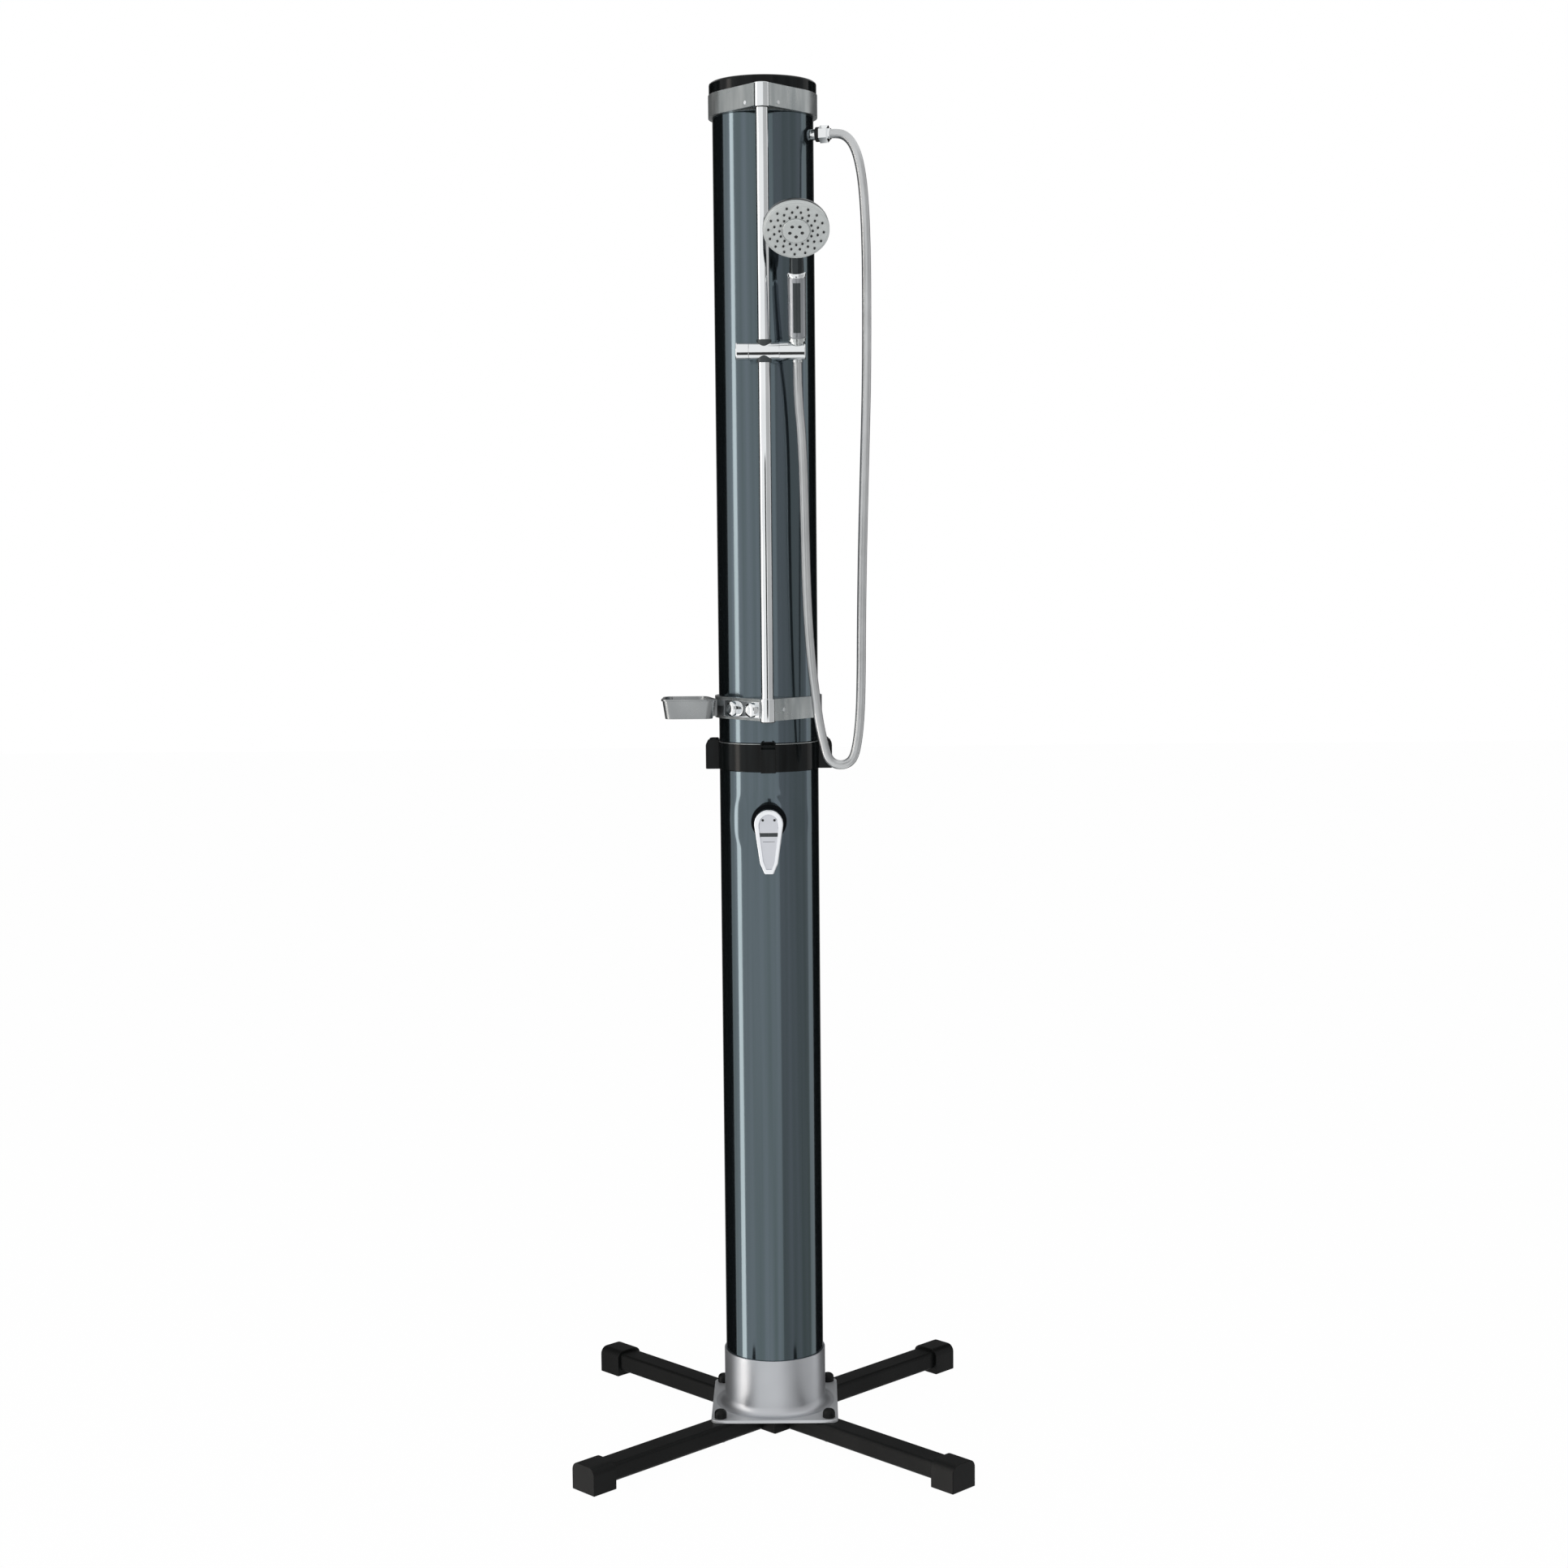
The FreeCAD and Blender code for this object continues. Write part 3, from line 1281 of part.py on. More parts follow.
def paddle_plan(inset):
    """Tapered outline of the lever's paddle, drawn in from its edge by an inset."""
    skirt = d.lever_head_diameter / 2 - inset
    tip = d.lever_tip_width / 2 - inset
    flat = d.lever_tip_flat / 2 - inset / 2
    shoulder = d.lever_length - d.lever_tip_slope - inset / 3
    end = d.lever_length - inset
    side = skirt * 0.974
    level = skirt * 0.35
    return [(-side, -level), (-tip, -shoulder), (-flat, -end), (flat, -end), (tip, -shoulder),
            (side, -level)]


def build_lever():
    """Lever: a domed skirt over the cover and a flat tapered paddle hanging down."""
    skirt_radius = d.lever_head_diameter / 2
    inner = d.cover_sphere / 2 + d.run_gap * 2
    face = d.lever_face
    drum = place(cylinder("lever_drum", skirt_radius, face - 3), z=3)
    paddle = prism("lever_paddle_plan", paddle_plan(as_size(0)), d.lever_thickness)
    place(paddle, z=face - d.lever_thickness)
    joined = fuse("lever_joined", drum, paddle)
    cavity = sphere("lever_cavity", inner)
    panel_floor = face - d.lever_panel_depth
    panel = place(prism("lever_panel_plan", paddle_plan(d.lever_rim), d.lever_thickness), z=panel_floor)
    eye = place(cylinder("lever_panel_eye", skirt_radius - d.lever_rim, d.lever_thickness), z=panel_floor)
    groove_half = skirt_radius - d.lever_rim - 1
    groove = block("lever_groove_block", (-groove_half, groove_half),
                   (-d.lever_groove_drop - d.lever_groove, -d.lever_groove_drop),
                   (face - d.lever_groove_depth, face * 2))
    mark_floor = panel_floor - d.mark_depth
    marks = [place(cylinder(f"mark_seat_{side}", d.mark_diameter / 2, face), x=d.mark_spread / 2 * side,
                   y=d.mark_rise, z=mark_floor)
             for side in (-1, 1)]
    shaped = cut("lever_shaped", joined, fuse("lever_cutters", cavity, panel, eye, groove, *marks))
    stem = block("lever_stem", (-d.stem_width / 2, d.stem_width / 2), (-4, 4), (-5, inner + 1))
    pin_hole = cylinder("stem_pin_hole", d.pin_diameter / 2 + 0.15, d.stem_width * 2)
    place(pin_hole, x=-d.stem_width, axis=Y_AXIS, angle=90)
    drilled = cut("lever_stem_drilled", stem, pin_hole)
    lever = fuse("lever_solid", shaped, drilled)
    finish(outward(lever, pivot_place), "mixer_lever")
    inserts = [place(cylinder(f"mark_{side}", d.mark_diameter / 2, d.mark_depth),
                     x=d.mark_spread / 2 * side,
                     y=d.mark_rise, z=mark_floor)
               for side in (-1, 1)]
    finish(outward(group("mark_group", inserts), pivot_place), "temperature_marks")


# ---------------------------------------------------------------- garden-hose inlet

def build_inlet():
    """Garden-hose nipple at the back of the foot, clamped through the tube wall."""
    barb = d.inlet_barb_diameter / 2
    bore = barb - 3
    flange = d.inlet_flange_diameter / 2
    inside = tube_bore - d.locknut_height - 4
    start = tube_radius + 0.3
    nipple = turned("inlet_body",
                    [(bore, inside), (barb, inside), (barb, start), (flange, start), (flange, start + 5),
                     (d.inlet_thread_diameter / 2, start + 5), (d.inlet_thread_diameter / 2, start + 18),
                     (barb, start + 18), (barb, start + d.inlet_length - 8),
                     (barb + 1.5, start + d.inlet_length - 8),
                     (barb - 1, start + d.inlet_length), (bore, start + d.inlet_length)])
    finish(place(nipple, z=d.inlet_level, axis=X_AXIS, angle=-90), "inlet_nipple")
    blank = hexagon("inlet_locknut_blank", d.inlet_flange_diameter - 4, d.locknut_height)
    hole = cylinder("inlet_locknut_bore", barb + d.push_gap, d.locknut_height)
    nut = cut("inlet_locknut_cut", blank, hole)
    finish(place(nut, y=tube_bore - d.locknut_height - 3, z=d.inlet_level, axis=X_AXIS, angle=-90),
           "inlet_locknut")


# ---------------------------------------------------------------- soap dish

def dish_plan(inset):
    """The dish seen from above: its right end slants back towards the post."""
    rear = d.dish_width - inset
    return [(inset, inset), (d.dish_length - inset, inset),
            (d.dish_length - d.dish_end_setback - inset, rear),
            (inset, rear)]


def drafted_tray(name, inset, low, height, corner):
    """A rounded block whose sides open upwards; the inset is measured at the dish's floor."""
    body = document.addObject("PartDesign::Body", name)
    plan = sketch_on(body, f"{name}_plan", "XY_Plane",
                     dish_plan(inset))
    pad = body.newObject("PartDesign::Pad", f"{name}_pad")
    pad.Profile = plan
    bind(pad, "Length", height)
    bind(pad, "TaperAngle", d.dish_draft)
    body.Tip = pad
    round_body(body, corner, lambda edge: edge.Length > 1
               and abs(edge.tangentAt(edge.FirstParameter).z) > 0.5)
    return place(body, z=low)


def build_soap_dish():
    """Open dish with drafted walls, a rim lip, drain slots and a hanger on the arm's side."""
    spread = d.dish_height * sine(d.dish_draft) / cosine(d.dish_draft)
    floor_spread = d.dish_floor * sine(d.dish_draft) / cosine(d.dish_draft)
    outer = drafted_tray("dish_outer", spread, as_size(0), d.dish_height, d.dish_corner)
    bowl = drafted_tray("dish_bowl", spread - floor_spread + d.dish_wall, d.dish_floor, d.dish_height,
                        d.dish_corner - d.dish_wall)
    lip = prism("dish_lip", dish_plan(-d.dish_lip), d.dish_rim)
    round_body(lip, d.dish_corner + d.dish_lip, lambda edge: runs_along(edge, Z_AXIS))
    place(lip, z=d.dish_height - d.dish_rim)
    hanger_end = dish_left - hanger_side
    hanger = block("dish_hanger", (d.dish_length - d.dish_end_setback - spread, hanger_end),
                   (d.hanger_front, d.hanger_front + d.hanger_width),
                   (d.dish_height - d.hanger_drop - d.arm_height, d.dish_height - d.hanger_drop))
    reach = float(hanger_end)
    hanger = round_shape("dish_hanger_round", hanger, 2, lambda edge: runs_along(edge, Z_AXIS)
                         and edge.CenterOfMass.x > reach - 0.01)
    slots = []
    pitch = (d.dish_length - d.dish_end_setback - 2 * spread) / (DRAIN_SLOTS + 1)
    for number in range(DRAIN_SLOTS):
        middle = spread + pitch * (number + 1)
        slots.append(block(f"drain_slot_{number}", (middle - d.drain_width / 2, middle + d.drain_width / 2),
                           (d.dish_width * 0.25, d.dish_width * 0.75), (-d.dish_floor, d.dish_floor * 2)))
    dish = cut("soap_dish_cut", fuse("dish_joined", outer, lip, hanger), fuse("dish_cutters", bowl, *slots))
    finish(place(dish, -dish_left, -d.dish_front, d.lower_bracket_bottom + d.dish_rise), "soap_dish")


def build_dish_arm():
    """Arm on the left bracket plate with a tongue to the dish, and its two domed caps."""
    inner = d.push_gap
    outer = inner + d.arm_thickness
    low = d.lower_bracket_bottom + d.dish_rise + d.dish_height - d.hanger_drop - d.arm_height
    bar = prism("dish_arm_bar", [plate_frame(d.arm_start, inner), plate_frame(d.arm_end, inner),
                                 plate_frame(d.arm_end, outer), plate_frame(d.arm_start, outer)],
                                 d.arm_height)
    place(bar, z=low)
    near = plate_frame(d.arm_end - 6, inner)
    near_out = plate_frame(d.arm_end - 6, outer)
    side = -hanger_side
    slope = sine(plate_turn) / cosine(plate_turn)
    tongue = prism("dish_arm_tongue", [near, near_out, (side, near_out[1] + (near_out[0] - side) * slope),
                                       (side, near[1] + (near[0] - side) * slope)], d.tongue_height)
    place(tongue, z=low + d.arm_height - d.tongue_height)
    finish(fuse("dish_arm_solid", bar, tongue), "dish_arm")
    caps = []
    for number, along in enumerate((d.arm_cap_near, d.arm_cap_far)):
        radius = d.arm_cap_diameter / 2
        dome = turned(f"arm_cap_{number}",
                      [(0, 0), (radius, 0), (radius, d.arm_cap_height), (0, d.arm_cap_height)])
        round_body(dome, d.arm_cap_round, lambda edge: is_circle(edge, radius, d.arm_cap_height))
        caps.append(aim_outward(dome, along, outer, low + d.arm_height / 2))
    finish(group("arm_cap_group", caps), "arm_caps")


# ---------------------------------------------------------------- build, check and write

build_hub()
for leg_side, leg_turn in LEG_NAMES.items():
    build_leg(leg_side, leg_turn)
    build_foot_cap(leg_side, leg_turn)
build_base_sleeve()
build_foot_fasteners()
build_lower_tube()
build_upper_tube()
build_plugs()
build_union()
build_top_cap()
build_bracket("upper", upper_bracket_bottom)
build_bracket("lower", d.lower_bracket_bottom)
build_bracket_screws()
build_rail()
build_slider()
build_handset()
build_outlet()
build_hose()
build_mixer()
build_inlet()
build_soap_dish()
build_dish_arm()
document.recompute()

failed = [thing.Label for thing in document.Objects if {"Invalid", "Error"} & set(thing.State)]
assert not failed, f"failed features: {failed}"
os.makedirs("parts", exist_ok=True)
for sub_part in finished:
    shape = sub_part.Shape
    assert not shape.isNull() and shape.isValid() and shape.Volume > 0, f"bad shape: {sub_part.Label}"
    shape.exportStep(f"parts/{sub_part.Label}.step")
    print(f"{sub_part.Label:22s} solids {len(shape.Solids):3d}  volume {shape.Volume / 1000:9.2f} cm3")
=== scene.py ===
"""Outdoor shower post, dressed for the studio.

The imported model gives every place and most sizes.  Each sub-assembly is a class
that reads the frame, models its pieces with bmesh and gives them their finish.
All lengths are metres; MM turns millimetres into metres.
"""

from __future__ import annotations

import json
import logging
import math
from dataclasses import dataclass
from enum import Enum
from typing import Callable, Iterable, Sequence

import bmesh
import bpy
from mathutils import Matrix, Vector


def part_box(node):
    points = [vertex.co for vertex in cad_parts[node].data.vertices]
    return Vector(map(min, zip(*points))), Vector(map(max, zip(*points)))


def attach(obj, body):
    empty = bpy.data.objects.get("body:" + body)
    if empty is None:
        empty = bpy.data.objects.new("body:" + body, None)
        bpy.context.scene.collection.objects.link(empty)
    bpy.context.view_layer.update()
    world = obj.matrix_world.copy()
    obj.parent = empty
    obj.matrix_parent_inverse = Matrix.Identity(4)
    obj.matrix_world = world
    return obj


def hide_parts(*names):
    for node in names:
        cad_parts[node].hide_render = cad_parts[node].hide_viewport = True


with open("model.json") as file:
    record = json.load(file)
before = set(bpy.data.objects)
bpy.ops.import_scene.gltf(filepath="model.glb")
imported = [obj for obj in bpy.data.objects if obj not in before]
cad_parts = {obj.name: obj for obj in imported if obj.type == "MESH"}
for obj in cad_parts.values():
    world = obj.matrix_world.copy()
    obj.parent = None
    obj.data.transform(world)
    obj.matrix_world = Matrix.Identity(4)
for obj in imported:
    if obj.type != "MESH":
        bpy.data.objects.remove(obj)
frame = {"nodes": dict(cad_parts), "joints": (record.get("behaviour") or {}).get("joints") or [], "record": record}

LOG = logging.getLogger("shower_post")

MM = 0.001
FULL_TURN = 2 * math.pi
STEPS = 96
SHARP_ANGLE = math.radians(32)
CORNER_ANGLE = math.radians(40)
FLAT_ANGLE = math.radians(0.5)
TINY = 1e-6
HOLDER_LEAN = math.radians(18)

FACING_FRONT = Matrix.Rotation(math.radians(90), 4, "X")
SQUARE = ((-1, -1), (1, -1), (1, 1), (-1, 1))
WHITE = (1.0, 1.0, 1.0, 1.0)

Colour = tuple[float, float, float, float]
Place = tuple[float, float, float]
Disc = tuple[float, float, float]


def paint(code: str) -> Colour:
    """Turn a hexadecimal screen colour into a linear one.

    Args:
        code: Six hexadecimal digits, such as "4f585c".

    Returns:
        Red, green, blue and alpha as Blender's sockets take them.
    """
    levels = [int(code[place:place + 2], 16) / 255 for place in (0, 2, 4)]
    linear = [level / 12.92 if level <= 0.04045 else ((level + 0.055) / 1.055) ** 2.4 for level in levels]
    return linear[0], linear[1], linear[2], 1.0


# ---------------------------------------------------------------- where the frame puts things

@dataclass(frozen=True)
class Extent:
    """Lowest and highest corner of a CAD node at rest."""

    low: Vector
    high: Vector

    @classmethod
    def of(cls, node: str) -> Extent:
        """Read a node's extent from the frame."""
        low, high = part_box(node)
        return cls(low, high)

    @property
    def centre(self) -> Vector:
        """Middle of the extent."""
        return (self.low + self.high) / 2

    @property
    def size(self) -> Vector:
        """Length along each axis."""
        return self.high - self.low


def holder_place() -> Vector:
    """Where the holder grips the hand shower: the origin of what leans with it."""
    return Vector((Extent.of("hose_cone").centre.x, Extent.of("slide_rail").centre.y,
                   Extent.of("slider_body").centre.z))


def joint_named(name: str) -> dict:
    """The record's row for one joint."""
    return next(joint for joint in frame["joints"] if joint["name"] == name)


def body_of_node(node: str) -> str:
    """The body that a CAD node moves with."""
    bodies = frame["record"]["behaviour"]["bodies"]
    return next(body for body, members in bodies.items() if node in members)


# ---------------------------------------------------------------- finishes

class Wiring:
    """Adds and joins the shader nodes of one material or node group."""

    def __init__(self, tree: bpy.types.NodeTree) -> None:
        """Start on a tree."""
        self.tree = tree

    def add(self, kind: str, **settings: object) -> bpy.types.Node:
        """Add a node and set its properties.

        Args:
            kind: The node's type name.
            **settings: Properties of the node.

        Returns:
            The new node.
        """
        node = self.tree.nodes.new(kind)
        for name, value in settings.items():
            setattr(node, name, value)
        return node

    def feed(self, node: bpy.types.Node, values: dict[str | int, object]) -> bpy.types.Node:
        """Link or set a node's inputs.

        Args:
            node: The node whose inputs are fed.
            values: Input name or number to a socket, which is linked, or a plain value, which is set.

        Returns:
            The same node.
        """
        for name, value in values.items():
            socket = node.inputs[name]
            if isinstance(value, bpy.types.NodeSocket):
                self.tree.links.new(value, socket)
            else:
                socket.default_value = value
        return node


def fresh_material(name: str) -> tuple[bpy.types.Material, Wiring]:
    """A new material with its nodes, and the wiring on them."""
    material = bpy.data.materials.new(name)
    material.use_nodes = True
    return material, Wiring(material.node_tree)


class Effects:
    """Shader node groups that more than one finish uses, each built once."""

    _built: dict[str, bpy.types.NodeTree] = {}

    @classmethod
    def _start(cls, name: str, inputs: dict[str, str],
               output: tuple[str, str]) -> tuple[Wiring, dict, bpy.types.Node]:
        """Open a new group with its sockets.

        Args:
            name: Name of the group.
            inputs: Input name to socket type.
            output: Name and socket type of the one output.

        Returns:
            The wiring, the inputs by name and the group's output node.
        """
        tree = bpy.data.node_groups.new(name, "ShaderNodeTree")
        for label, kind in inputs.items():
            tree.interface.new_socket(label, in_out="INPUT", socket_type=kind)
        tree.interface.new_socket(output[0], in_out="OUTPUT", socket_type=output[1])
        wiring = Wiring(tree)
        entry = wiring.add("NodeGroupInput")
        leave = wiring.add("NodeGroupOutput")
        cls._built[name] = tree
        return wiring, {label: entry.outputs[label] for label in inputs}, leave

    @staticmethod
    def _stretched_noise(wiring: Wiring, scale: object, stretch: object, detail: float) -> bpy.types.Node:
        """Noise on object coordinates that are scaled by a vector first."""
        place = wiring.add("ShaderNodeTexCoord").outputs["Object"]
        scaled = wiring.add("ShaderNodeVectorMath", operation="MULTIPLY")
        wiring.feed(scaled, {0: place, 1: stretch})
        noise = wiring.add("ShaderNodeTexNoise")
        return wiring.feed(noise, {"Vector": scaled.outputs[0], "Scale": scale, "Detail": detail})

    @classmethod
    def smudges(cls) -> bpy.types.NodeTree:
        """Roughness that wanders softly, as on a surface that hands and water have touched."""
        if "soft_smudges" not in cls._built:
            wiring, given, leave = cls._start(
                "soft_smudges",
                {"Scale": "NodeSocketFloat", "Low": "NodeSocketFloat", "High": "NodeSocketFloat"},
                ("Roughness", "NodeSocketFloat"))
            noise = cls._stretched_noise(wiring, given["Scale"], stretch=(1.0, 1.0, 0.6), detail=3.0)
            spread = wiring.add("ShaderNodeMapRange")
            wiring.feed(spread, {"Value": noise.outputs["Fac"], "From Min": 0.32, "From Max": 0.68,
                                 "To Min": given["Low"], "To Max": given["High"]})
            wiring.feed(leave, {"Roughness": spread.outputs["Result"]})
        return cls._built["soft_smudges"]

    @classmethod
    def drift(cls) -> bpy.types.NodeTree:
        """Colour that drifts between two tones in patches or long streaks."""
        if "colour_drift" not in cls._built:
            wiring, given, leave = cls._start(
                "colour_drift",
                {"Base": "NodeSocketColor", "Second": "NodeSocketColor", "Scale": "NodeSocketFloat",
                 "Stretch": "NodeSocketVector"},
                ("Colour", "NodeSocketColor"))
            noise = cls._stretched_noise(wiring, given["Scale"], given["Stretch"], detail=2.0)
            spread = wiring.add("ShaderNodeMapRange")
            wiring.feed(spread, {"Value": noise.outputs["Fac"], "From Min": 0.3, "From Max": 0.7})
            blend = wiring.add("ShaderNodeMix", data_type="RGBA")
            wiring.feed(blend, {0: spread.outputs["Result"], 6: given["Base"], 7: given["Second"]})
            wiring.feed(leave, {"Colour": blend.outputs[2]})
        return cls._built["colour_drift"]

    @classmethod
    def grain(cls) -> bpy.types.NodeTree:
        """Fine raised grain: even for moulded skin, stretched for brushed metal."""
        if "surface_grain" not in cls._built:
            wiring, given, leave = cls._start(
                "surface_grain",
                {"Scale": "NodeSocketFloat", "Stretch": "NodeSocketVector", "Strength": "NodeSocketFloat",
                 "Depth": "NodeSocketFloat"},
                ("Normal", "NodeSocketVector"))
            noise = cls._stretched_noise(wiring, given["Scale"], given["Stretch"], detail=4.0)
            bump = wiring.add("ShaderNodeBump")
            wiring.feed(bump, {"Height": noise.outputs["Fac"], "Strength": given["Strength"],
                               "Distance": given["Depth"]})
            wiring.feed(leave, {"Normal": bump.outputs["Normal"]})
        return cls._built["surface_grain"]


@dataclass(frozen=True)
class Finish:
    """One surface finish: two close tones, a wandering roughness and a fine grain.

    The stretch vectors squeeze the pattern's coordinates, so a small number draws
    the pattern out along that axis.
    """

    name: str
    tone: str
    second_tone: str
    roughness: tuple[float, float]
    metallic: float = 0.0
    specular: float = 0.5
    coat: float = 0.0
    coat_roughness: float = 0.05
    patch_scale: float = 9.0
    patch_stretch: tuple[float, float, float] = (1.0, 1.0, 1.0)
    smudge_scale: float = 14.0
    grain_scale: float = 900.0
    grain_stretch: tuple[float, float, float] = (1.0, 1.0, 1.0)
    grain_strength: float = 0.0
    grain_depth: float = 0.02 * MM

    def material(self) -> bpy.types.Material:
        """The finish's material, built at its first use."""
        known = bpy.data.materials.get(self.name)
        if known is not None and known.get("finish") == self.name:
            return known
        material, wiring = fresh_material(self.name)
        material["finish"] = self.name
        material.diffuse_color = paint(self.tone)
        surface = material.node_tree.nodes["Principled BSDF"]
        colour = wiring.feed(wiring.add("ShaderNodeGroup", node_tree=Effects.drift()),
                             {"Base": paint(self.tone), "Second": paint(self.second_tone),
                              "Scale": self.patch_scale, "Stretch": self.patch_stretch})
        smoothest, roughest = self.roughness
        smudge = wiring.feed(wiring.add("ShaderNodeGroup", node_tree=Effects.smudges()),
                             {"Scale": self.smudge_scale, "Low": smoothest, "High": roughest})
        wiring.feed(surface, {"Base Color": colour.outputs["Colour"],
                              "Roughness": smudge.outputs["Roughness"],
                              "Metallic": self.metallic, "Specular IOR Level": self.specular,
                              "Coat Weight": self.coat, "Coat Roughness": self.coat_roughness})
        if self.grain_strength:
            grain = wiring.feed(wiring.add("ShaderNodeGroup", node_tree=Effects.grain()),
                                {"Scale": self.grain_scale, "Stretch": self.grain_stretch,
                                 "Strength": self.grain_strength, "Depth": self.grain_depth})
            wiring.feed(surface, {"Normal": grain.outputs["Normal"]})
        return material


class Finishes(Enum):
    """The finishes of this post."""

    TANK_GREY = Finish("tank_anthracite_gloss", "4d5a5d", "5f6a72", (0.08, 0.13), metallic=0.95, coat=0.12,
                       coat_roughness=0.04, patch_scale=75.0, patch_stretch=(1.0, 1.0, 0.008),
                       smudge_scale=7.0, grain_scale=60.0, grain_stretch=(1.0, 1.0, 0.08),
                       grain_strength=0.04, grain_depth=0.3 * MM)
    GLOSS_BLACK = Finish("gloss_black_moulding", "060808", "151819", (0.1, 0.17), specular=0.15,
                         patch_scale=75.0, patch_stretch=(1.0, 1.0, 0.1), smudge_scale=20.0)
    # Near black, with almost no gloss: painted shade for the gap round the mixer's head.
    SEAT_PAINTED_SHADE = Finish("seat_painted_shade_black", "05080a", "0b0f12", (0.3, 0.42), specular=0.06)
    LEG_BLACK = Finish("powder_coat_black", "0a0b0b", "101111", (0.42, 0.52), specular=0.14,
                       grain_scale=1500.0, grain_strength=0.35, grain_depth=0.03 * MM)
    FOOT_BLACK = Finish("foot_moulding_black", "090a0a", "0f1010", (0.38, 0.5), specular=0.16,
                        grain_scale=1200.0, grain_strength=0.25, grain_depth=0.03 * MM)
    SLEEVE_STEEL = Finish("brushed_steel", "b4b7bb", "c2c4c8", (0.34, 0.42), metallic=0.85, grain_scale=520.0,
                          grain_stretch=(1.0, 1.0, 0.03), grain_strength=0.16, grain_depth=0.03 * MM)
    PLATE_STEEL = Finish("plate_steel", "bbbec1", "c8cacd", (0.36, 0.46), metallic=0.6, grain_scale=480.0,
                         grain_stretch=(0.03, 1.0, 1.0), grain_strength=0.16, grain_depth=0.03 * MM)
    ZINC = Finish("zinc_plated_steel", "a5a8a6", "b7b6ac", (0.3, 0.42), metallic=1.0, patch_scale=60.0)
    CHROME = Finish("bright_chrome", "dfe2e4", "e9ebec", (0.05, 0.11), metallic=1.0, smudge_scale=30.0)
    # Chrome toned near black: painted shade for the hand shower's neck under its head and for the gap round the
    # mixer's head.
    SHADE_PAINTED_CHROME = Finish("chrome_with_painted_shade", "34383a", "404446", (0.08, 0.14), metallic=1.0, smudge_scale=30.0)
    BRACKET_SATIN = Finish("bracket_satin", "8f9596", "b2b6b6", (0.24, 0.32), metallic=0.75, patch_scale=55.0,
                           patch_stretch=(1.0, 1.0, 0.2), smudge_scale=30.0)
    DISH_SATIN = Finish("dish_satin", "8b8e8f", "a3a6a7", (0.24, 0.34), metallic=0.9, smudge_scale=40.0)
    SATIN_CHROME = Finish("satin_chrome", "c3c7c8", "ced1d1", (0.2, 0.28), metallic=1.0, smudge_scale=40.0)
    HANDLE_SATIN = Finish("handle_satin", "94979b", "a6a9ad", (0.26, 0.34), metallic=0.9, smudge_scale=40.0)
    LEVER_CHROME = Finish("lever_pearl_chrome", "e8ebef", "f0f2f5", (0.16, 0.24), metallic=1.0,
                          smudge_scale=40.0)
    LEVER_PANEL = Finish("lever_panel_satin", "c6c9cf", "d1d3d9", (0.28, 0.36), metallic=0.7,
                         smudge_scale=40.0)
    HOSE_SILVER = Finish("hose_silver", "bcbebf", "c9cbcc", (0.3, 0.38), metallic=0.9, patch_scale=20.0,
                         grain_scale=400.0, grain_strength=0.03, grain_depth=0.03 * MM)
    # Dark grey: the grip's own inlay, and painted shade in the lever's groove and round the slider's bush.
    INLAY_GREY_AND_SHADE = Finish("inlay_grey_and_painted_shade", "303537", "3c4143", (0.24, 0.34), specular=0.3)
    RUBBER = Finish("dark_rubber", "1b1c1d", "242526", (0.55, 0.7), specular=0.3, grain_scale=1800.0,
                    grain_strength=0.3)
    NOZZLE_RUBBER = Finish("nozzle_rubber", "1c1e1f", "292b2c", (0.5, 0.62), specular=0.35)
    SPRAY_FACE = Finish("spray_face_grey", "b7bcbc", "c3c7c6", (0.3, 0.4), metallic=0.35, smudge_scale=30.0,
                        grain_scale=1500.0, grain_strength=0.1)
    INNER_WHITE = Finish("inner_moulding", "cfcdc6", "dad8d2", (0.4, 0.52), patch_scale=30.0,
                         grain_scale=1200.0, grain_strength=0.15)
    PIPE_WHITE = Finish("pipe_white", "dcdcd8", "e6e5e1", (0.35, 0.46), patch_scale=16.0,
                        patch_stretch=(1.0, 1.0, 0.1))
    BRASS = Finish("turned_brass", "b08d4a", "c2a05c", (0.22, 0.32), metallic=1.0, patch_scale=40.0)

    def material(self) -> bpy.types.Material:
        """The material of this finish."""
        return self.value.material()


# ---------------------------------------------------------------- modelling

@dataclass(frozen=True)
class Corner:
    """A corner of a drawn outline and how far its rounding reaches along both sides."""

    across: float
    up: float
    rounding: float = 0.0
    segments: int = 6


def drawn(*rows: tuple[float, ...]) -> list[Corner]:
    """An outline's corners, each given in millimetres: across, up, rounding and its facets."""
    return [Corner(across * MM, up * MM, *(value * MM for value in rest[:1]), *rest[1:])
            for across, up, *rest in rows]


def square(half: float, rounding: float, segments: int) -> list[Corner]:
    """The rounded corners of a square about the origin."""
    return [Corner(x * half, y * half, rounding, segments) for x, y in SQUARE]


def lies_level(part: bmesh.types.BMEdge | bmesh.types.BMFace, height: float) -> bool:
    """Whether all points of an edge or face lie at a height."""
    return all(abs(point.co.z - height) < TINY for point in part.verts)


def points_of(made: dict) -> list[bmesh.types.BMVert]:
    """The points among what a mesh operation made."""
    return [part for part in made["geom"] if isinstance(part, bmesh.types.BMVert)]


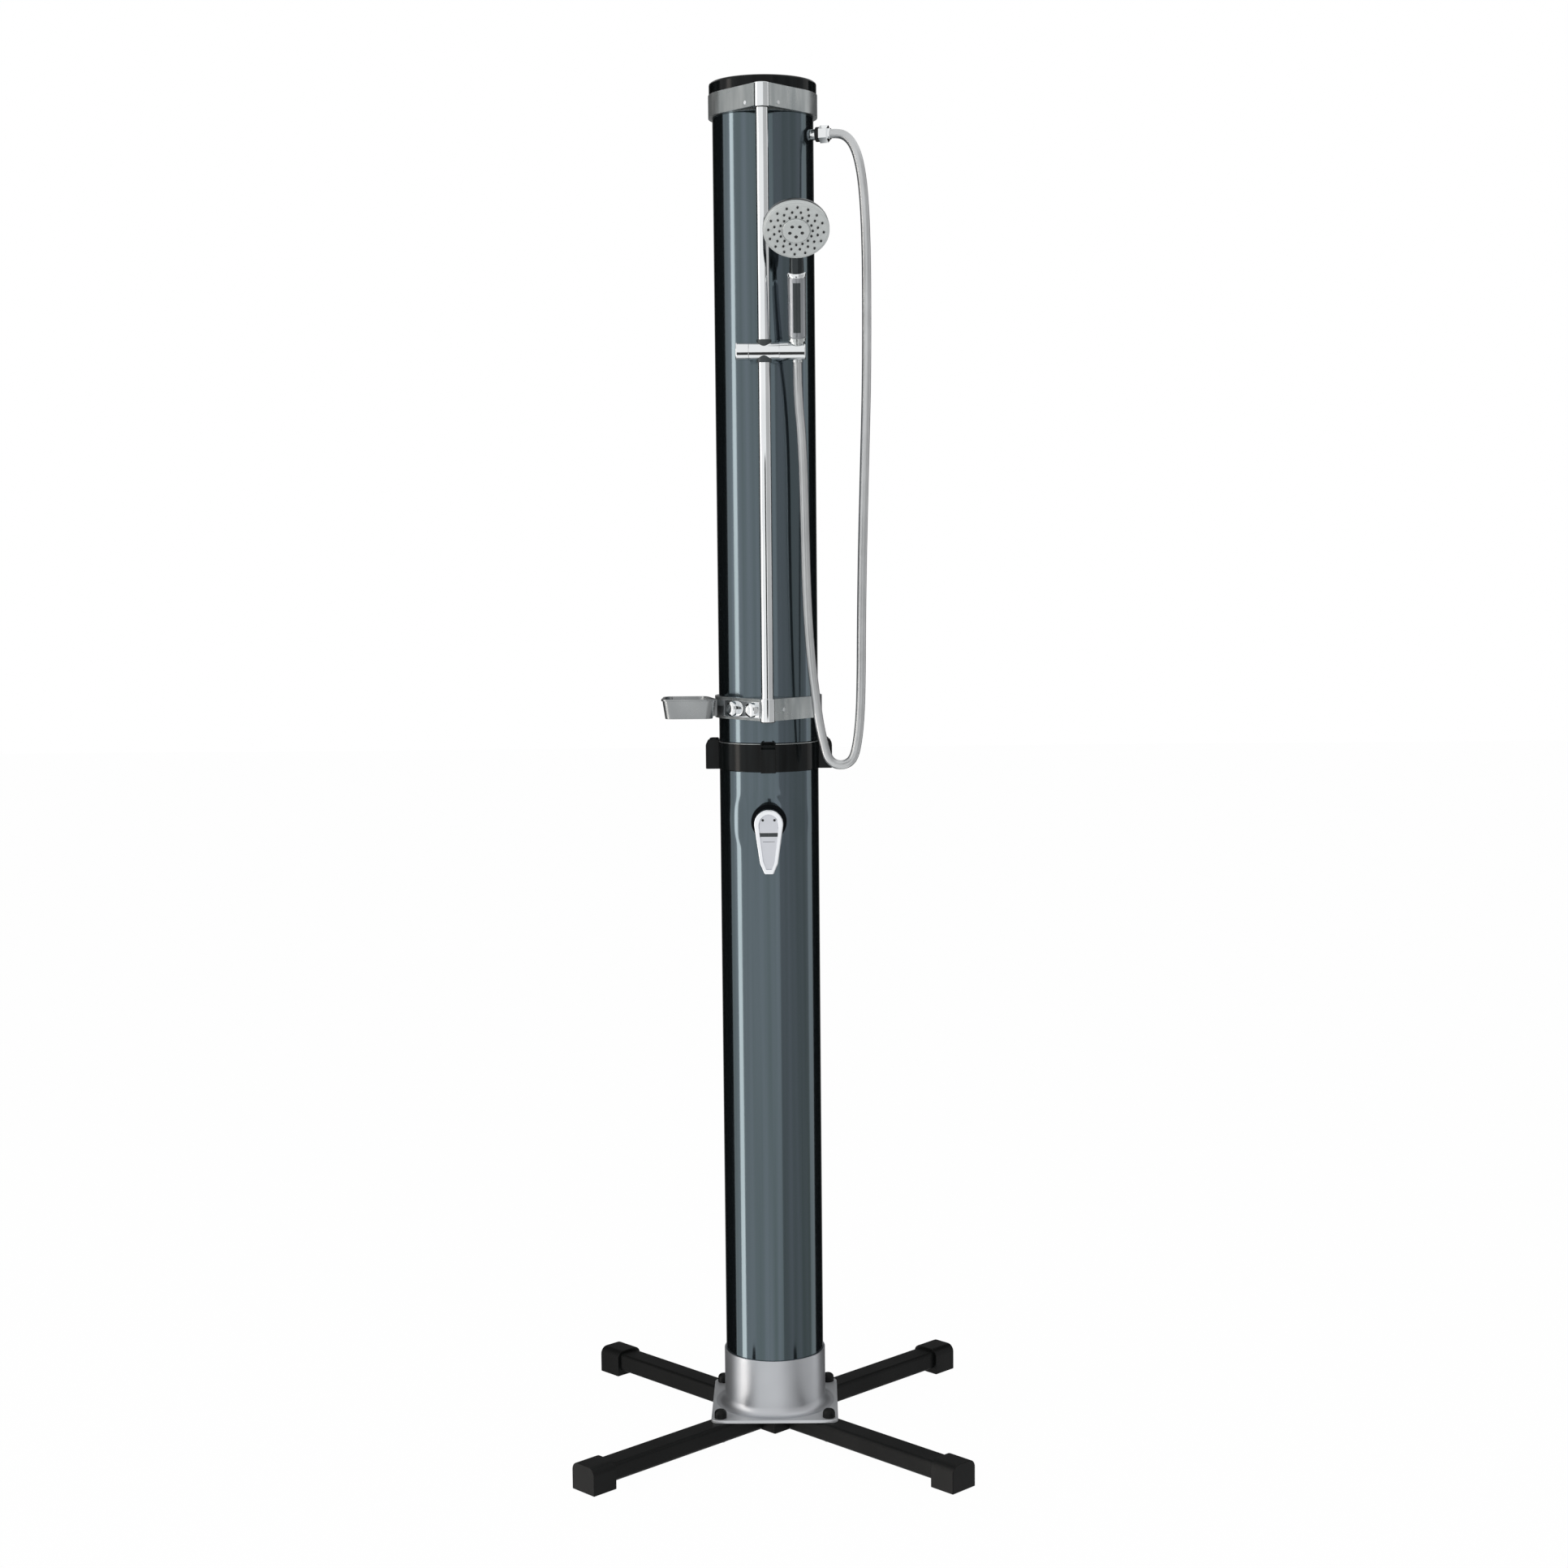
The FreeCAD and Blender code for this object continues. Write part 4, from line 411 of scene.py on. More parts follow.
class Form:
    """A mesh in the making, with the few moves that the pieces are made by."""

    def __init__(self) -> None:
        """Start empty."""
        self.mesh = bmesh.new()

    # ---- starting shapes

    def _draw(self, corners: Sequence[Corner], upright: bool, closed: bool) -> None:
        """Draw an outline with rounded corners.

        Args:
            corners: The outline's corners in order.
            upright: True to draw in the XZ plane, False for the XY plane.
            closed: Whether the last corner joins the first.
        """
        points = []
        for corner in corners:
            place = (corner.across, 0, corner.up) if upright else (corner.across, corner.up, 0)
            points.append(self.mesh.verts.new(place))
        for here, there in zip(points, points[1:]):
            self.mesh.edges.new((here, there))
        if closed:
            self.mesh.edges.new((points[-1], points[0]))
        for corner, point in zip(corners, points):
            if corner.rounding:
                bmesh.ops.bevel(self.mesh, geom=[point], offset=corner.rounding, segments=corner.segments,
                                profile=0.5, affect="VERTICES", material=-1)

    @classmethod
    def lathe(cls, corners: Sequence[Corner], steps: int = STEPS, closed: bool = True) -> Form:
        """Turn an outline about the Z axis.

        Args:
            corners: Radius and height of each corner.
            steps: Facets round the axis.
            closed: False where both ends of the outline lie on the axis.

        Returns:
            The turned form.
        """
        form = cls()
        form._draw(corners, True, closed)
        bmesh.ops.spin(form.mesh, geom=form.mesh.verts[:] + form.mesh.edges[:], cent=(0, 0, 0),
                       axis=(0, 0, 1), dvec=(0, 0, 0), angle=FULL_TURN, steps=steps, use_merge=True,
                       use_duplicate=False)
        return form.heal()

    @classmethod
    def slab(cls, corners: Sequence[Corner], thickness: float, near_rim: float = 0.0,
             far_rim: float = 0.0) -> Form:
        """Push an outline in the XY plane along Z and ease its two rims.

        Args:
            corners: The outline.
            thickness: How far it is pushed.
            near_rim: Width of the easing at Z = 0.
            far_rim: Width of the easing at the far side.

        Returns:
            The form.
        """
        form = cls()
        form._draw(corners, False, True)
        bmesh.ops.contextual_create(form.mesh, geom=form.mesh.verts[:] + form.mesh.edges[:])
        pushed = bmesh.ops.extrude_face_region(form.mesh, geom=form.mesh.faces[:])
        bmesh.ops.translate(form.mesh, verts=points_of(pushed), vec=(0, 0, thickness))
        return form.heal()._ease_rims(thickness, near_rim, far_rim)

    @classmethod
    def hull(cls, discs: Sequence[Disc], thickness: float, near_rim: float = 0.0,
             far_rim: float = 0.0, segments: int = STEPS) -> Form:
        """Stretch a band round discs that lie in the XY plane and push the outline along Z.

        Args:
            discs: Across, up and radius of each disc.
            thickness: How far the outline is pushed.
            near_rim: Width of the easing at Z = 0.
            far_rim: Width of the easing at the far side.
            segments: Facets round each disc.

        Returns:
            The form.
        """
        form = cls()
        for across, up, radius in discs:
            for level in (0.0, thickness):
                bmesh.ops.create_circle(form.mesh, segments=segments, radius=radius,
                                        matrix=Matrix.Translation((across, up, level)))
        wrapped = bmesh.ops.convex_hull(form.mesh, input=form.mesh.verts[:])
        hidden = {part for part in wrapped["geom_interior"] if isinstance(part, bmesh.types.BMVert)}
        bmesh.ops.delete(form.mesh, geom=list(hidden), context="VERTS")
        spare = [edge for edge in form.mesh.edges if not edge.link_faces]
        bmesh.ops.delete(form.mesh, geom=spare, context="EDGES")
        form._join_flats()
        form.heal()
        return form._ease_rims(thickness, near_rim, far_rim)

    @classmethod
    def copy_of(cls, node: str, rim: float = 0.0) -> Form:
        """A merged copy of a CAD node's mesh with its sharp edges eased.

        Args:
            node: The CAD node.
            rim: Width of the easing, or 0 for none.

        Returns:
            The form.
        """
        form = cls()
        form.mesh.from_mesh(frame["nodes"][node].data)
        bmesh.ops.remove_doubles(form.mesh, verts=form.mesh.verts, dist=2 * TINY)
        form._join_flats()
        if rim:
            form.ease(rim, lambda edge: edge.is_manifold and edge.calc_face_angle(0) > CORNER_ANGLE
                      and edge.is_convex)
        return form

    # ---- changes

    def _join_flats(self) -> None:
        """Join neighbouring facets that lie in one plane."""
        bmesh.ops.dissolve_limit(self.mesh, angle_limit=FLAT_ANGLE, verts=self.mesh.verts[:],
                                 edges=self.mesh.edges[:], use_dissolve_boundaries=False)

    def _ease_rims(self, thickness: float, near_rim: float, far_rim: float) -> Form:
        """Round the rims of a pushed outline at Z = 0 and at its far side."""
        for level, rim in ((0.0, near_rim), (thickness, far_rim)):
            if rim:
                self.ease(rim, lambda edge, height=level: lies_level(edge, height))
        return self

    def heal(self) -> Form:
        """Merge doubled points and turn every face outwards."""
        bmesh.ops.remove_doubles(self.mesh, verts=self.mesh.verts, dist=TINY)
        bmesh.ops.recalc_face_normals(self.mesh, faces=self.mesh.faces)
        return self

    def ease(self, width: float, chosen: Callable[[bmesh.types.BMEdge], bool], segments: int = 3) -> Form:
        """Round the edges that a test picks.

        Args:
            width: Reach of the rounding.
            chosen: Says whether an edge is rounded.
            segments: Facets across the rounding.

        Returns:
            This form.
        """
        edges = [edge for edge in self.mesh.edges if chosen(edge)]
        bmesh.ops.bevel(self.mesh, geom=edges, offset=width, segments=segments, profile=0.5, affect="EDGES",
                        material=-1, clamp_overlap=True)
        return self

    def move(self, place: Matrix) -> Form:
        """Move the whole form by a matrix."""
        bmesh.ops.transform(self.mesh, matrix=place, verts=self.mesh.verts)
        return self

    def lift(self, x: float = 0.0, y: float = 0.0, z: float = 0.0) -> Form:
        """Shift the whole form."""
        return self.move(Matrix.Translation((x, y, z)))

    def swell(self, width: float) -> Form:
        """Push every point outwards along its normal."""
        self.heal()
        for point in self.mesh.verts:
            point.co += point.normal * width
        return self

    def join(self, other: Form) -> Form:
        """Take in another form as a separate island."""
        carrier = bpy.data.meshes.new("carrier")
        other.mesh.to_mesh(carrier)
        self.mesh.from_mesh(carrier)
        bpy.data.meshes.remove(carrier)
        return self

    def at_each(self, places: Iterable[Matrix]) -> Form:
        """One copy of the form at each place."""
        carrier = bpy.data.meshes.new("carrier")
        self.mesh.to_mesh(carrier)
        copies = Form()
        for place in places:
            before = len(copies.mesh.verts)
            copies.mesh.from_mesh(carrier)
            bmesh.ops.transform(copies.mesh, matrix=place, verts=copies.mesh.verts[before:])
        bpy.data.meshes.remove(carrier)
        return copies

    # ---- finishing

    def stand(self, name: str) -> bpy.types.Object:
        """Put the form into the scene as an object of its own and let go of it."""
        data = bpy.data.meshes.new(name)
        self.mesh.to_mesh(data)
        self.mesh.free()
        made = bpy.data.objects.new(name, data)
        bpy.context.scene.collection.objects.link(made)
        return made

    def publish(self, name: str, finish: Finishes, node: str) -> None:
        """Make the form a piece of the object that stands for a CAD node.

        Args:
            name: Name of the piece.
            finish: Its finish.
            node: The CAD node that it replaces, whose body it rides on.
        """
        for face in self.mesh.faces:
            face.smooth = True
        for edge in self.mesh.edges:
            edge.smooth = not (edge.is_manifold and edge.calc_face_angle(0) > SHARP_ANGLE)
        piece = self.stand(name)
        piece.data.materials.append(finish.material())
        evening = piece.modifiers.new("evening", "WEIGHTED_NORMAL")
        evening.keep_sharp = True
        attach(piece, body_of_node(node))
        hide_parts(node)
        LOG.info("%s: %d faces, for %s", name, len(piece.data.polygons), node)


def ring(inner: float, outer: float, low: float, high: float, rim: float = 0.0, steps: int = STEPS) -> Form:
    """A plain turned ring with its outer rims eased."""
    return Form.lathe([Corner(inner, low), Corner(outer, low, rim, 4), Corner(outer, high, rim, 4),
                       Corner(inner, high)], steps)


def disc(radius: float, low: float, high: float, low_rim: float = 0.0, high_rim: float = 0.0,
         steps: int = STEPS) -> Form:
    """A solid turned disc with eased rims."""
    return Form.lathe([Corner(0, low), Corner(radius, low, low_rim), Corner(radius, high, high_rim),
                       Corner(0, high)], steps, closed=False)


def recast(node: str, name: str, finish: Finishes, rim: float = 0.0) -> None:
    """Make a piece from a CAD node's own shape.

    Args:
        node: The CAD node.
        name: Name of the piece.
        finish: Its finish.
        rim: Width of the easing on its sharp edges, or 0 for none.
    """
    Form.copy_of(node, rim).publish(name, finish, node)


def dress(node: str, finish: Finishes) -> None:
    """Give a CAD node that stays visible its finish."""
    data = frame["nodes"][node].data
    data.materials.clear()
    data.materials.append(finish.material())
    LOG.info("%s: keeps its CAD mesh", node)


# ---------------------------------------------------------------- studio

@dataclass(frozen=True)
class SoftBox:
    """A lamp that faces the post.  Azimuths run from the front towards the left, in degrees."""

    name: str
    azimuth: float
    distance: float
    height: float
    width: float
    tall: float
    watts: float
    mirrored: bool = False
    tint: str = "ffffff"
    aim_height: float = 1.1

    def hang(self) -> None:
        """Put the lamp into the scene, where gloss shows it only if it is mirrored."""
        turn = math.radians(self.azimuth)
        data = bpy.data.lights.new(self.name, "AREA")
        data.shape = "RECTANGLE"
        data.size = self.width
        data.size_y = self.tall
        data.energy = self.watts
        data.color = paint(self.tint)[:3]
        lamp = bpy.data.objects.new(self.name, data)
        lamp.location = (-math.sin(turn) * self.distance, -math.cos(turn) * self.distance, self.height)
        aim = Vector((0, 0, self.aim_height)) - lamp.location
        lamp.rotation_euler = aim.to_track_quat("-Z", "Y").to_euler()
        lamp.visible_glossy = self.mirrored
        bpy.context.scene.collection.objects.link(lamp)


def hang_cloth(form: Form, name: str, glow: float) -> None:
    """Make a form a glowing cloth that only gloss sees.

    Args:
        form: Its shape.
        name: Its name.
        glow: How bright it is beside the white surround.
    """
    cloth = form.stand(name)
    material, wiring = fresh_material(f"{name}_cloth")
    light = wiring.feed(wiring.add("ShaderNodeEmission"), {"Color": WHITE, "Strength": glow})
    wiring.feed(material.node_tree.nodes["Material Output"], {"Surface": light.outputs[0]})
    cloth.data.materials.append(material)
    for ray in ("camera", "diffuse", "transmission", "shadow", "volume_scatter"):
        setattr(cloth, f"visible_{ray}", False)


@dataclass(frozen=True)
class Screen:
    """A curved cloth round the post, between two azimuths."""

    name: str
    radius: float
    low: float
    high: float
    first: float
    last: float
    glow: float
    segments: int = 240

    def hang(self) -> None:
        """Put the screen into the scene."""
        form = Form()
        bmesh.ops.create_circle(form.mesh, segments=self.segments, radius=self.radius,
                                matrix=Matrix.Translation((0, 0, self.low)))
        walls = bmesh.ops.extrude_edge_only(form.mesh, edges=form.mesh.edges[:])
        bmesh.ops.translate(form.mesh, verts=points_of(walls), vec=(0, 0, self.high - self.low))
        spare = [face for face in form.mesh.faces if not self._holds(face.calc_center_median())]
        bmesh.ops.delete(form.mesh, geom=spare, context="FACES")
        hang_cloth(form, self.name, self.glow)

    def _holds(self, place: Vector) -> bool:
        """Whether a place lies between the screen's azimuths."""
        azimuth = math.degrees(math.atan2(-place.x, -place.y)) % 360
        return self.first <= azimuth <= self.last


@dataclass(frozen=True)
class Card:
    """A small upright cloth before the post, for the dark line on what lies level."""

    name: str
    middle: Place
    half_width: float
    half_height: float
    glow: float

    def hang(self) -> None:
        """Put the card into the scene."""
        form = Form()
        bmesh.ops.create_grid(form.mesh, x_segments=1, y_segments=1, size=1)
        form.move(Matrix.Translation(self.middle) @ FACING_FRONT
                  @ Matrix.Diagonal((self.half_width, self.half_height, 1, 1)))
        hang_cloth(form, self.name, self.glow)


@dataclass
class Studio:
    """Camera, floor, a tall key lamp, two fills, and the cloths that shade the tubes' edges."""

    image_width: float = 1932
    focal_pixels: float = 3051
    sensor_width: float = 36
    camera_place: Place = (0.0577, -3.996, 1.452)
    pitch: float = -5.469
    yaw: float = -0.486
    roll: float = -0.534
    soft_light: float = 0.42
    floor_reach: float = 14.0
    floor_tone: Colour = (0.86, 0.86, 0.86, 1)
    floor_white: float = 0.985
    fittings: tuple[SoftBox | Screen | Card, ...] = (
        SoftBox("key", azimuth=75, distance=3.0, height=0.7, width=0.6, tall=4.8, watts=32, mirrored=True,
                tint="fff6ed"),
        SoftBox("fill", azimuth=-32, distance=4.2, height=2.6, width=2.4, tall=2.4, watts=85),
        SoftBox("side_fill", azimuth=60, distance=4.2, height=2.2, width=2.4, tall=2.4, watts=45),
        Screen("back_screen_left", radius=1.9, low=-1.6, high=2.7, first=100, last=158, glow=0.004),
        Screen("back_screen_middle", radius=1.9, low=-1.6, high=2.7, first=158, last=202, glow=0.2),
        Screen("back_screen_right", radius=1.9, low=-1.6, high=2.7, first=202, last=246, glow=0.004),
        Screen("right_screen", radius=2.6, low=-1.8, high=3.4, first=262, last=338, glow=0.52),
        Card("slider_card", middle=(0.02, -0.62, 1.38), half_width=0.1, half_height=0.23, glow=0.04))

    def build(self) -> None:
        """Set up everything that isn't part of the object."""
        self._camera()
        self._world()
        self._floor()
        for fitting in self.fittings:
            fitting.hang()
        bpy.context.scene.view_settings.view_transform = "Standard"

    def _camera(self) -> None:
        """Place the camera as the photograph's was."""
        pitch, yaw, roll = (math.radians(angle) for angle in (self.pitch, self.yaw, self.roll))
        ahead = Vector((math.sin(yaw) * math.cos(pitch), math.cos(yaw) * math.cos(pitch), math.sin(pitch)))
        level = Vector((math.cos(yaw), -math.sin(yaw), 0))
        above = level.cross(ahead)
        right = math.cos(roll) * level + math.sin(roll) * above
        up = math.cos(roll) * above - math.sin(roll) * level
        data = bpy.data.cameras.new("camera")
        data.sensor_width = self.sensor_width
        data.lens = self.focal_pixels / self.image_width * self.sensor_width
        camera = bpy.data.objects.new("camera", data)
        place = Matrix((right, up, -ahead)).transposed().to_4x4()
        place.translation = self.camera_place
        camera.matrix_world = place
        bpy.context.scene.collection.objects.link(camera)
        bpy.context.scene.camera = camera

    def _world(self) -> None:
        """A white surround for the camera and for gloss, and plain soft light for the rest."""
        world = bpy.data.worlds.new("studio")
        world.use_nodes = True
        bpy.context.scene.world = world
        wiring = Wiring(world.node_tree)
        seen = wiring.add("ShaderNodeLightPath")
        mirrored = wiring.feed(wiring.add("ShaderNodeMath", operation="MAXIMUM"),
                               {0: seen.outputs["Is Glossy Ray"], 1: seen.outputs["Is Transmission Ray"]})
        either = wiring.feed(wiring.add("ShaderNodeMath", operation="MAXIMUM"),
                             {0: seen.outputs["Is Camera Ray"], 1: mirrored.outputs[0]})
        strength = wiring.feed(wiring.add("ShaderNodeMapRange"),
                               {"Value": either.outputs[0], "To Min": self.soft_light, "To Max": 1.0})
        background = world.node_tree.nodes["Background"]
        wiring.feed(background, {"Color": WHITE, "Strength": strength.outputs["Result"]})

    def _floor(self) -> None:
        """A pale floor that is white to the camera and keeps a faint shadow."""
        form = Form()
        bmesh.ops.create_grid(form.mesh, x_segments=1, y_segments=1, size=self.floor_reach)
        floor = form.stand("floor")
        material, wiring = fresh_material("pale_floor")
        matt = material.node_tree.nodes["Principled BSDF"]
        wiring.feed(matt, {"Base Color": self.floor_tone, "Roughness": 0.9, "Specular IOR Level": 0.1})
        glow = wiring.feed(wiring.add("ShaderNodeEmission"), {"Color": WHITE, "Strength": 1.0})
        seen = wiring.add("ShaderNodeLightPath")
        share = wiring.feed(wiring.add("ShaderNodeMath", operation="MULTIPLY"),
                            {0: seen.outputs["Is Camera Ray"], 1: self.floor_white})
        blend = wiring.feed(wiring.add("ShaderNodeMixShader"),
                            {0: share.outputs[0], 1: matt.outputs["BSDF"], 2: glow.outputs["Emission"]})
        wiring.feed(material.node_tree.nodes["Material Output"], {"Surface": blend.outputs[0]})
        floor.visible_glossy = False
        floor.data.materials.append(material)


# ---------------------------------------------------------------- hose

@dataclass
class ShowerHose:
    """The metal-look hose from the outlet down round its loop and up to the hand shower."""

    diameter: float = 14.5 * MM
    outlet_turn: float = 18.0
    outlet_reach: float = 112.5
    cone_bottom: float = -17.3
    end_run: float = 30.0
    curve_steps: int = 20
    round_steps: int = 8
    spline_order: int = 3
    length: float = 1678 * MM
    route: tuple[Place, ...] = (
        (120.3, -39.1, 2096), (132.8, -43.2, 2089.5), (142.6, -46.4, 2076), (149.8, -48.8, 2055),
        (155.5, -50.8, 2022), (159.2, -52.5, 1973), (161, -55, 1903), (160.8, -61, 1803),
        (159.5, -66.5, 1700), (156, -71, 1590), (151.5, -75, 1450), (149, -80, 1330), (148, -83, 1240),
        (146, -85, 1185), (142, -86, 1146), (135.8, -86.5, 1118), (123.5, -87, 1107.7),
        (107.6, -87.5, 1107.3), (94.6, -88, 1117), (87, -88.5, 1146), (80.7, -89, 1177),
        (75, -90, 1222), (67.5, -90.5, 1290), (62.8, -91, 1380), (61, -91.5, 1480), (59.5, -91, 1570),
        (56.5, -92.5, 1635), (53.3, -94.5, 1669),
    )

    def build(self) -> None:
        """Draw the hose as one smooth curve along its route."""
        turn = math.radians(self.outlet_turn)
        start = Vector((math.cos(turn), -math.sin(turn), 0)) * self.outlet_reach
        start.z = Extent.of("outlet_washer").centre.z / MM
        axis = Vector((0, -math.sin(HOLDER_LEAN), math.cos(HOLDER_LEAN)))
        end = holder_place() / MM + axis * self.cone_bottom
        points = [start, *map(Vector, self.route), end - axis * self.end_run, end]
        curve = bpy.data.curves.new("shower_hose_line", "CURVE")
        curve.dimensions = "3D"
        curve.resolution_u = self.curve_steps
        curve.bevel_depth = self.diameter / 2
        curve.bevel_resolution = self.round_steps
        curve.use_fill_caps = True
        spline = curve.splines.new("NURBS")
        spline.points.add(len(points) - 1)
        for knot, point in zip(spline.points, points):
            knot.co = (*(point * MM), 1.0)
        spline.order_u = self.spline_order
        spline.use_endpoint_u = True
        hose = bpy.data.objects.new("hose_line", curve)
        bpy.context.scene.collection.objects.link(hose)
        curve.materials.append(Finishes.HOSE_SILVER.material())
        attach(hose, body_of_node("shower_hose"))
        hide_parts("shower_hose")
        LOG.info("hose_line: %d points", len(points))


# ---------------------------------------------------------------- water tube

@dataclass
class WaterTube:
    """The two tank tubes, the bulge for the mixer, the top cap and the lugged union nut."""

    wall: float = 4 * MM
    tube_steps: int = 256
    tube_rim: float = 0.6 * MM
    mixer_rows: int = 68
    mixer_reach: float = 68 * MM
    flat_depth: float = 4.75 * MM
    flat_wide: float = 62 * MM
    flat_high: float = 53 * MM
    flat_softness: float = 0.02
    foot_rise: float = 1.0 * MM
    foot_wide: float = 38 * MM
    foot_high: float = 52 * MM
    foot_drop: float = 4 * MM
    foot_edge: float = 0.82
    seat_front: float = 25.2 * MM
    seat_back: float = 28.2 * MM
    seat_stretch: float = 1.02
    seat_depth: float = 18 * MM
    seat_proud: float = 0.2 * MM
    seat_step: float = 2 * MM
    seat_lip: float = 3 * MM
    seat_rim: float = 0.8 * MM
    cap_gap: float = 0.2 * MM
    cap_thick: float = 5 * MM
    cap_round: float = 4 * MM
    nut_wall: float = 3 * MM
    nut_proud: float = 1.5 * MM
    nut_rim: float = 1.3 * MM
    highlight_ring_proud: float = 0.3 * MM
    highlight_ring_high: float = 1.1 * MM
    highlight_ring_rim: float = 0.3 * MM
    lug_count: int = 4
    lug_wide: float = 24 * MM
    lug_round: float = 11 * MM
    lug_wall: float = 3 * MM
    lug_foot: float = 0.3 * MM
    lug_low_round: float = 1.5 * MM
    lug_ease: float = 0.8 * MM
    lug_pocket: float = 30 * MM
    lug_top_slope: float = 0.55

    def build(self) -> None:
        """Make the tubes and what closes them."""
        self.radius = Extent.of("upper_tube").high.x
        self.mixer_level = Extent.of("mixer_spindle").centre.z
        self._tube("upper_tube", "tank_upper", [])
        rows = [self.mixer_level + self.mixer_reach * (2 * row / self.mixer_rows - 1)
                for row in range(self.mixer_rows + 1)]
        self._tube("lower_tube", "tank_lower", rows)
        self._seat_shade_ring()
        self._cap()
        self._nut()

    def _tube(self, node: str, name: str, rows: Sequence[float]) -> None:
        """One tank tube, with its front moulded to the mixer where it has rows for that.

        Args:
            node: The CAD node.
            name: Name of the piece.
            rows: Heights of the rows of points round the mixer.
        """
        reach = Extent.of(node)
        inner = self.radius - self.wall
        form = Form.lathe([
            Corner(inner, reach.low.z), Corner(self.radius, reach.low.z, self.tube_rim, 4),
            *(Corner(self.radius, row) for row in rows),
            Corner(self.radius, reach.high.z, self.tube_rim, 4), Corner(inner, reach.high.z),
        ], self.tube_steps)
        if rows:
            for point in form.mesh.verts:
                on_skin = math.hypot(point.co.x, point.co.y) > self.radius - TINY
                if on_skin and point.co.y < 0 and rows[0] <= point.co.z <= rows[-1]:
                    point.co.y += self._hollow(point.co.x, point.co.z - self.mixer_level)
        form.publish(name, Finishes.TANK_GREY, node)

    def _hollow(self, across: float, up: float) -> float:
        """How far the moulded front lies behind the round tube: an oval flat with a low foot on it.

        Args:
            across: Sideways from the mixer's axis.
            up: Upwards from the mixer's axis.

        Returns:
            Depth behind the round tube, negative where the front stands out.
        """
        inside = 1 - math.hypot(across / self.flat_wide, up / self.flat_high) ** 2
        flat = (inside + math.sqrt(inside ** 2 + self.flat_softness)) / 2
        spread = math.hypot(across / self.foot_wide, (up + self.foot_drop) / self.foot_high)
        fall = min(max((spread - self.foot_edge) / (1 - self.foot_edge), 0.0), 1.0)
        foot = 1 - fall * fall * (3 - 2 * fall)
        return self.flat_depth * flat - self.foot_rise * foot

    def _seat_shade_ring(self) -> None:
        """A near-black seat ring round the mixer's head: painted shade for the gap there."""
        front = -Extent.of("lower_tube").low.y + self.seat_proud
        lip = front - self.seat_lip
        form = disc(self.seat_back, front - self.seat_depth, front - self.seat_step)
        form.join(Form.lathe([
            Corner(0, lip), Corner(self.seat_back - self.seat_step, lip),
            Corner(self.seat_front, front, self.seat_rim, 4), Corner(0, front)], closed=False))
        form.move(Matrix.Diagonal((1, self.seat_stretch, 1, 1))).move(FACING_FRONT).lift(z=self.mixer_level)
        form.publish("mixer_shade_ring", Finishes.SEAT_PAINTED_SHADE, "lower_tube")

    def _cap(self) -> None:
        """The gloss cap over the top of the tube."""
        reach = Extent.of("top_cap")
        outer = reach.high.x
        inner = self.radius + self.cap_gap
        roof = reach.high.z - self.cap_thick
        form = Form.lathe([
            Corner(0, roof), Corner(inner, roof), Corner(inner, reach.low.z),
            Corner(outer, reach.low.z, self.tube_rim, 3), Corner(outer, reach.high.z, self.cap_round, 8),
            Corner(0, reach.high.z)], self.tube_steps, closed=False)
        form.publish("cap_gloss", Finishes.GLOSS_BLACK, "top_cap")

    def _nut(self) -> None:
        """The union nut: a band with four hollow grip lugs, and a light ring at its top that paints the highlight
        line along its upper edge.
        """
        reach = Extent.of("union_nut")
        low = reach.low.z
        top = Extent.of("upper_tube").low.z
        inner = self.radius - self.nut_wall
        outer = self.radius + self.nut_proud
        rim = self.nut_rim
        band = Form.lathe([Corner(inner, low), Corner(outer, low, rim, 3), Corner(outer, top, rim, 3),
                           Corner(inner, top)], self.tube_steps)
        foot = self.radius + self.lug_foot
        lug = Form.slab([Corner(foot, low), Corner(reach.high.x, low, self.lug_low_round, 3),
                         Corner(reach.high.x, reach.high.z, self.lug_round, 8), Corner(foot, reach.high.z)],
                        self.lug_wide, self.lug_ease, self.lug_ease)
        lug.move(FACING_FRONT).lift(y=self.lug_wide / 2)
        mouth = [face for face in lug.mesh.faces if face.normal.z > self.lug_top_slope]
        bmesh.ops.inset_region(lug.mesh, faces=mouth, thickness=self.lug_wall, depth=0,
                               use_even_offset=True)
        sunk = bmesh.ops.extrude_face_region(lug.mesh, geom=mouth)
        bmesh.ops.delete(lug.mesh, geom=mouth, context="FACES")
        bmesh.ops.translate(lug.mesh, verts=points_of(sunk), vec=(0, 0, -self.lug_pocket))
        lugs = lug.at_each(Matrix.Rotation(FULL_TURN / self.lug_count * number, 4, "Z")
                           for number in range(self.lug_count))
        band.join(lugs).publish("union_band", Finishes.GLOSS_BLACK, "union_nut")
        # A thin light satin ring at the nut's top: a painted highlight along the upper edge.
        edge = ring(outer - MM, outer + self.highlight_ring_proud, top - self.highlight_ring_high - MM, top - MM, self.highlight_ring_rim,
                    self.tube_steps)
        edge.publish("union_highlight_ring", Finishes.BRACKET_SATIN, "union_nut")


# ---------------------------------------------------------------- foot

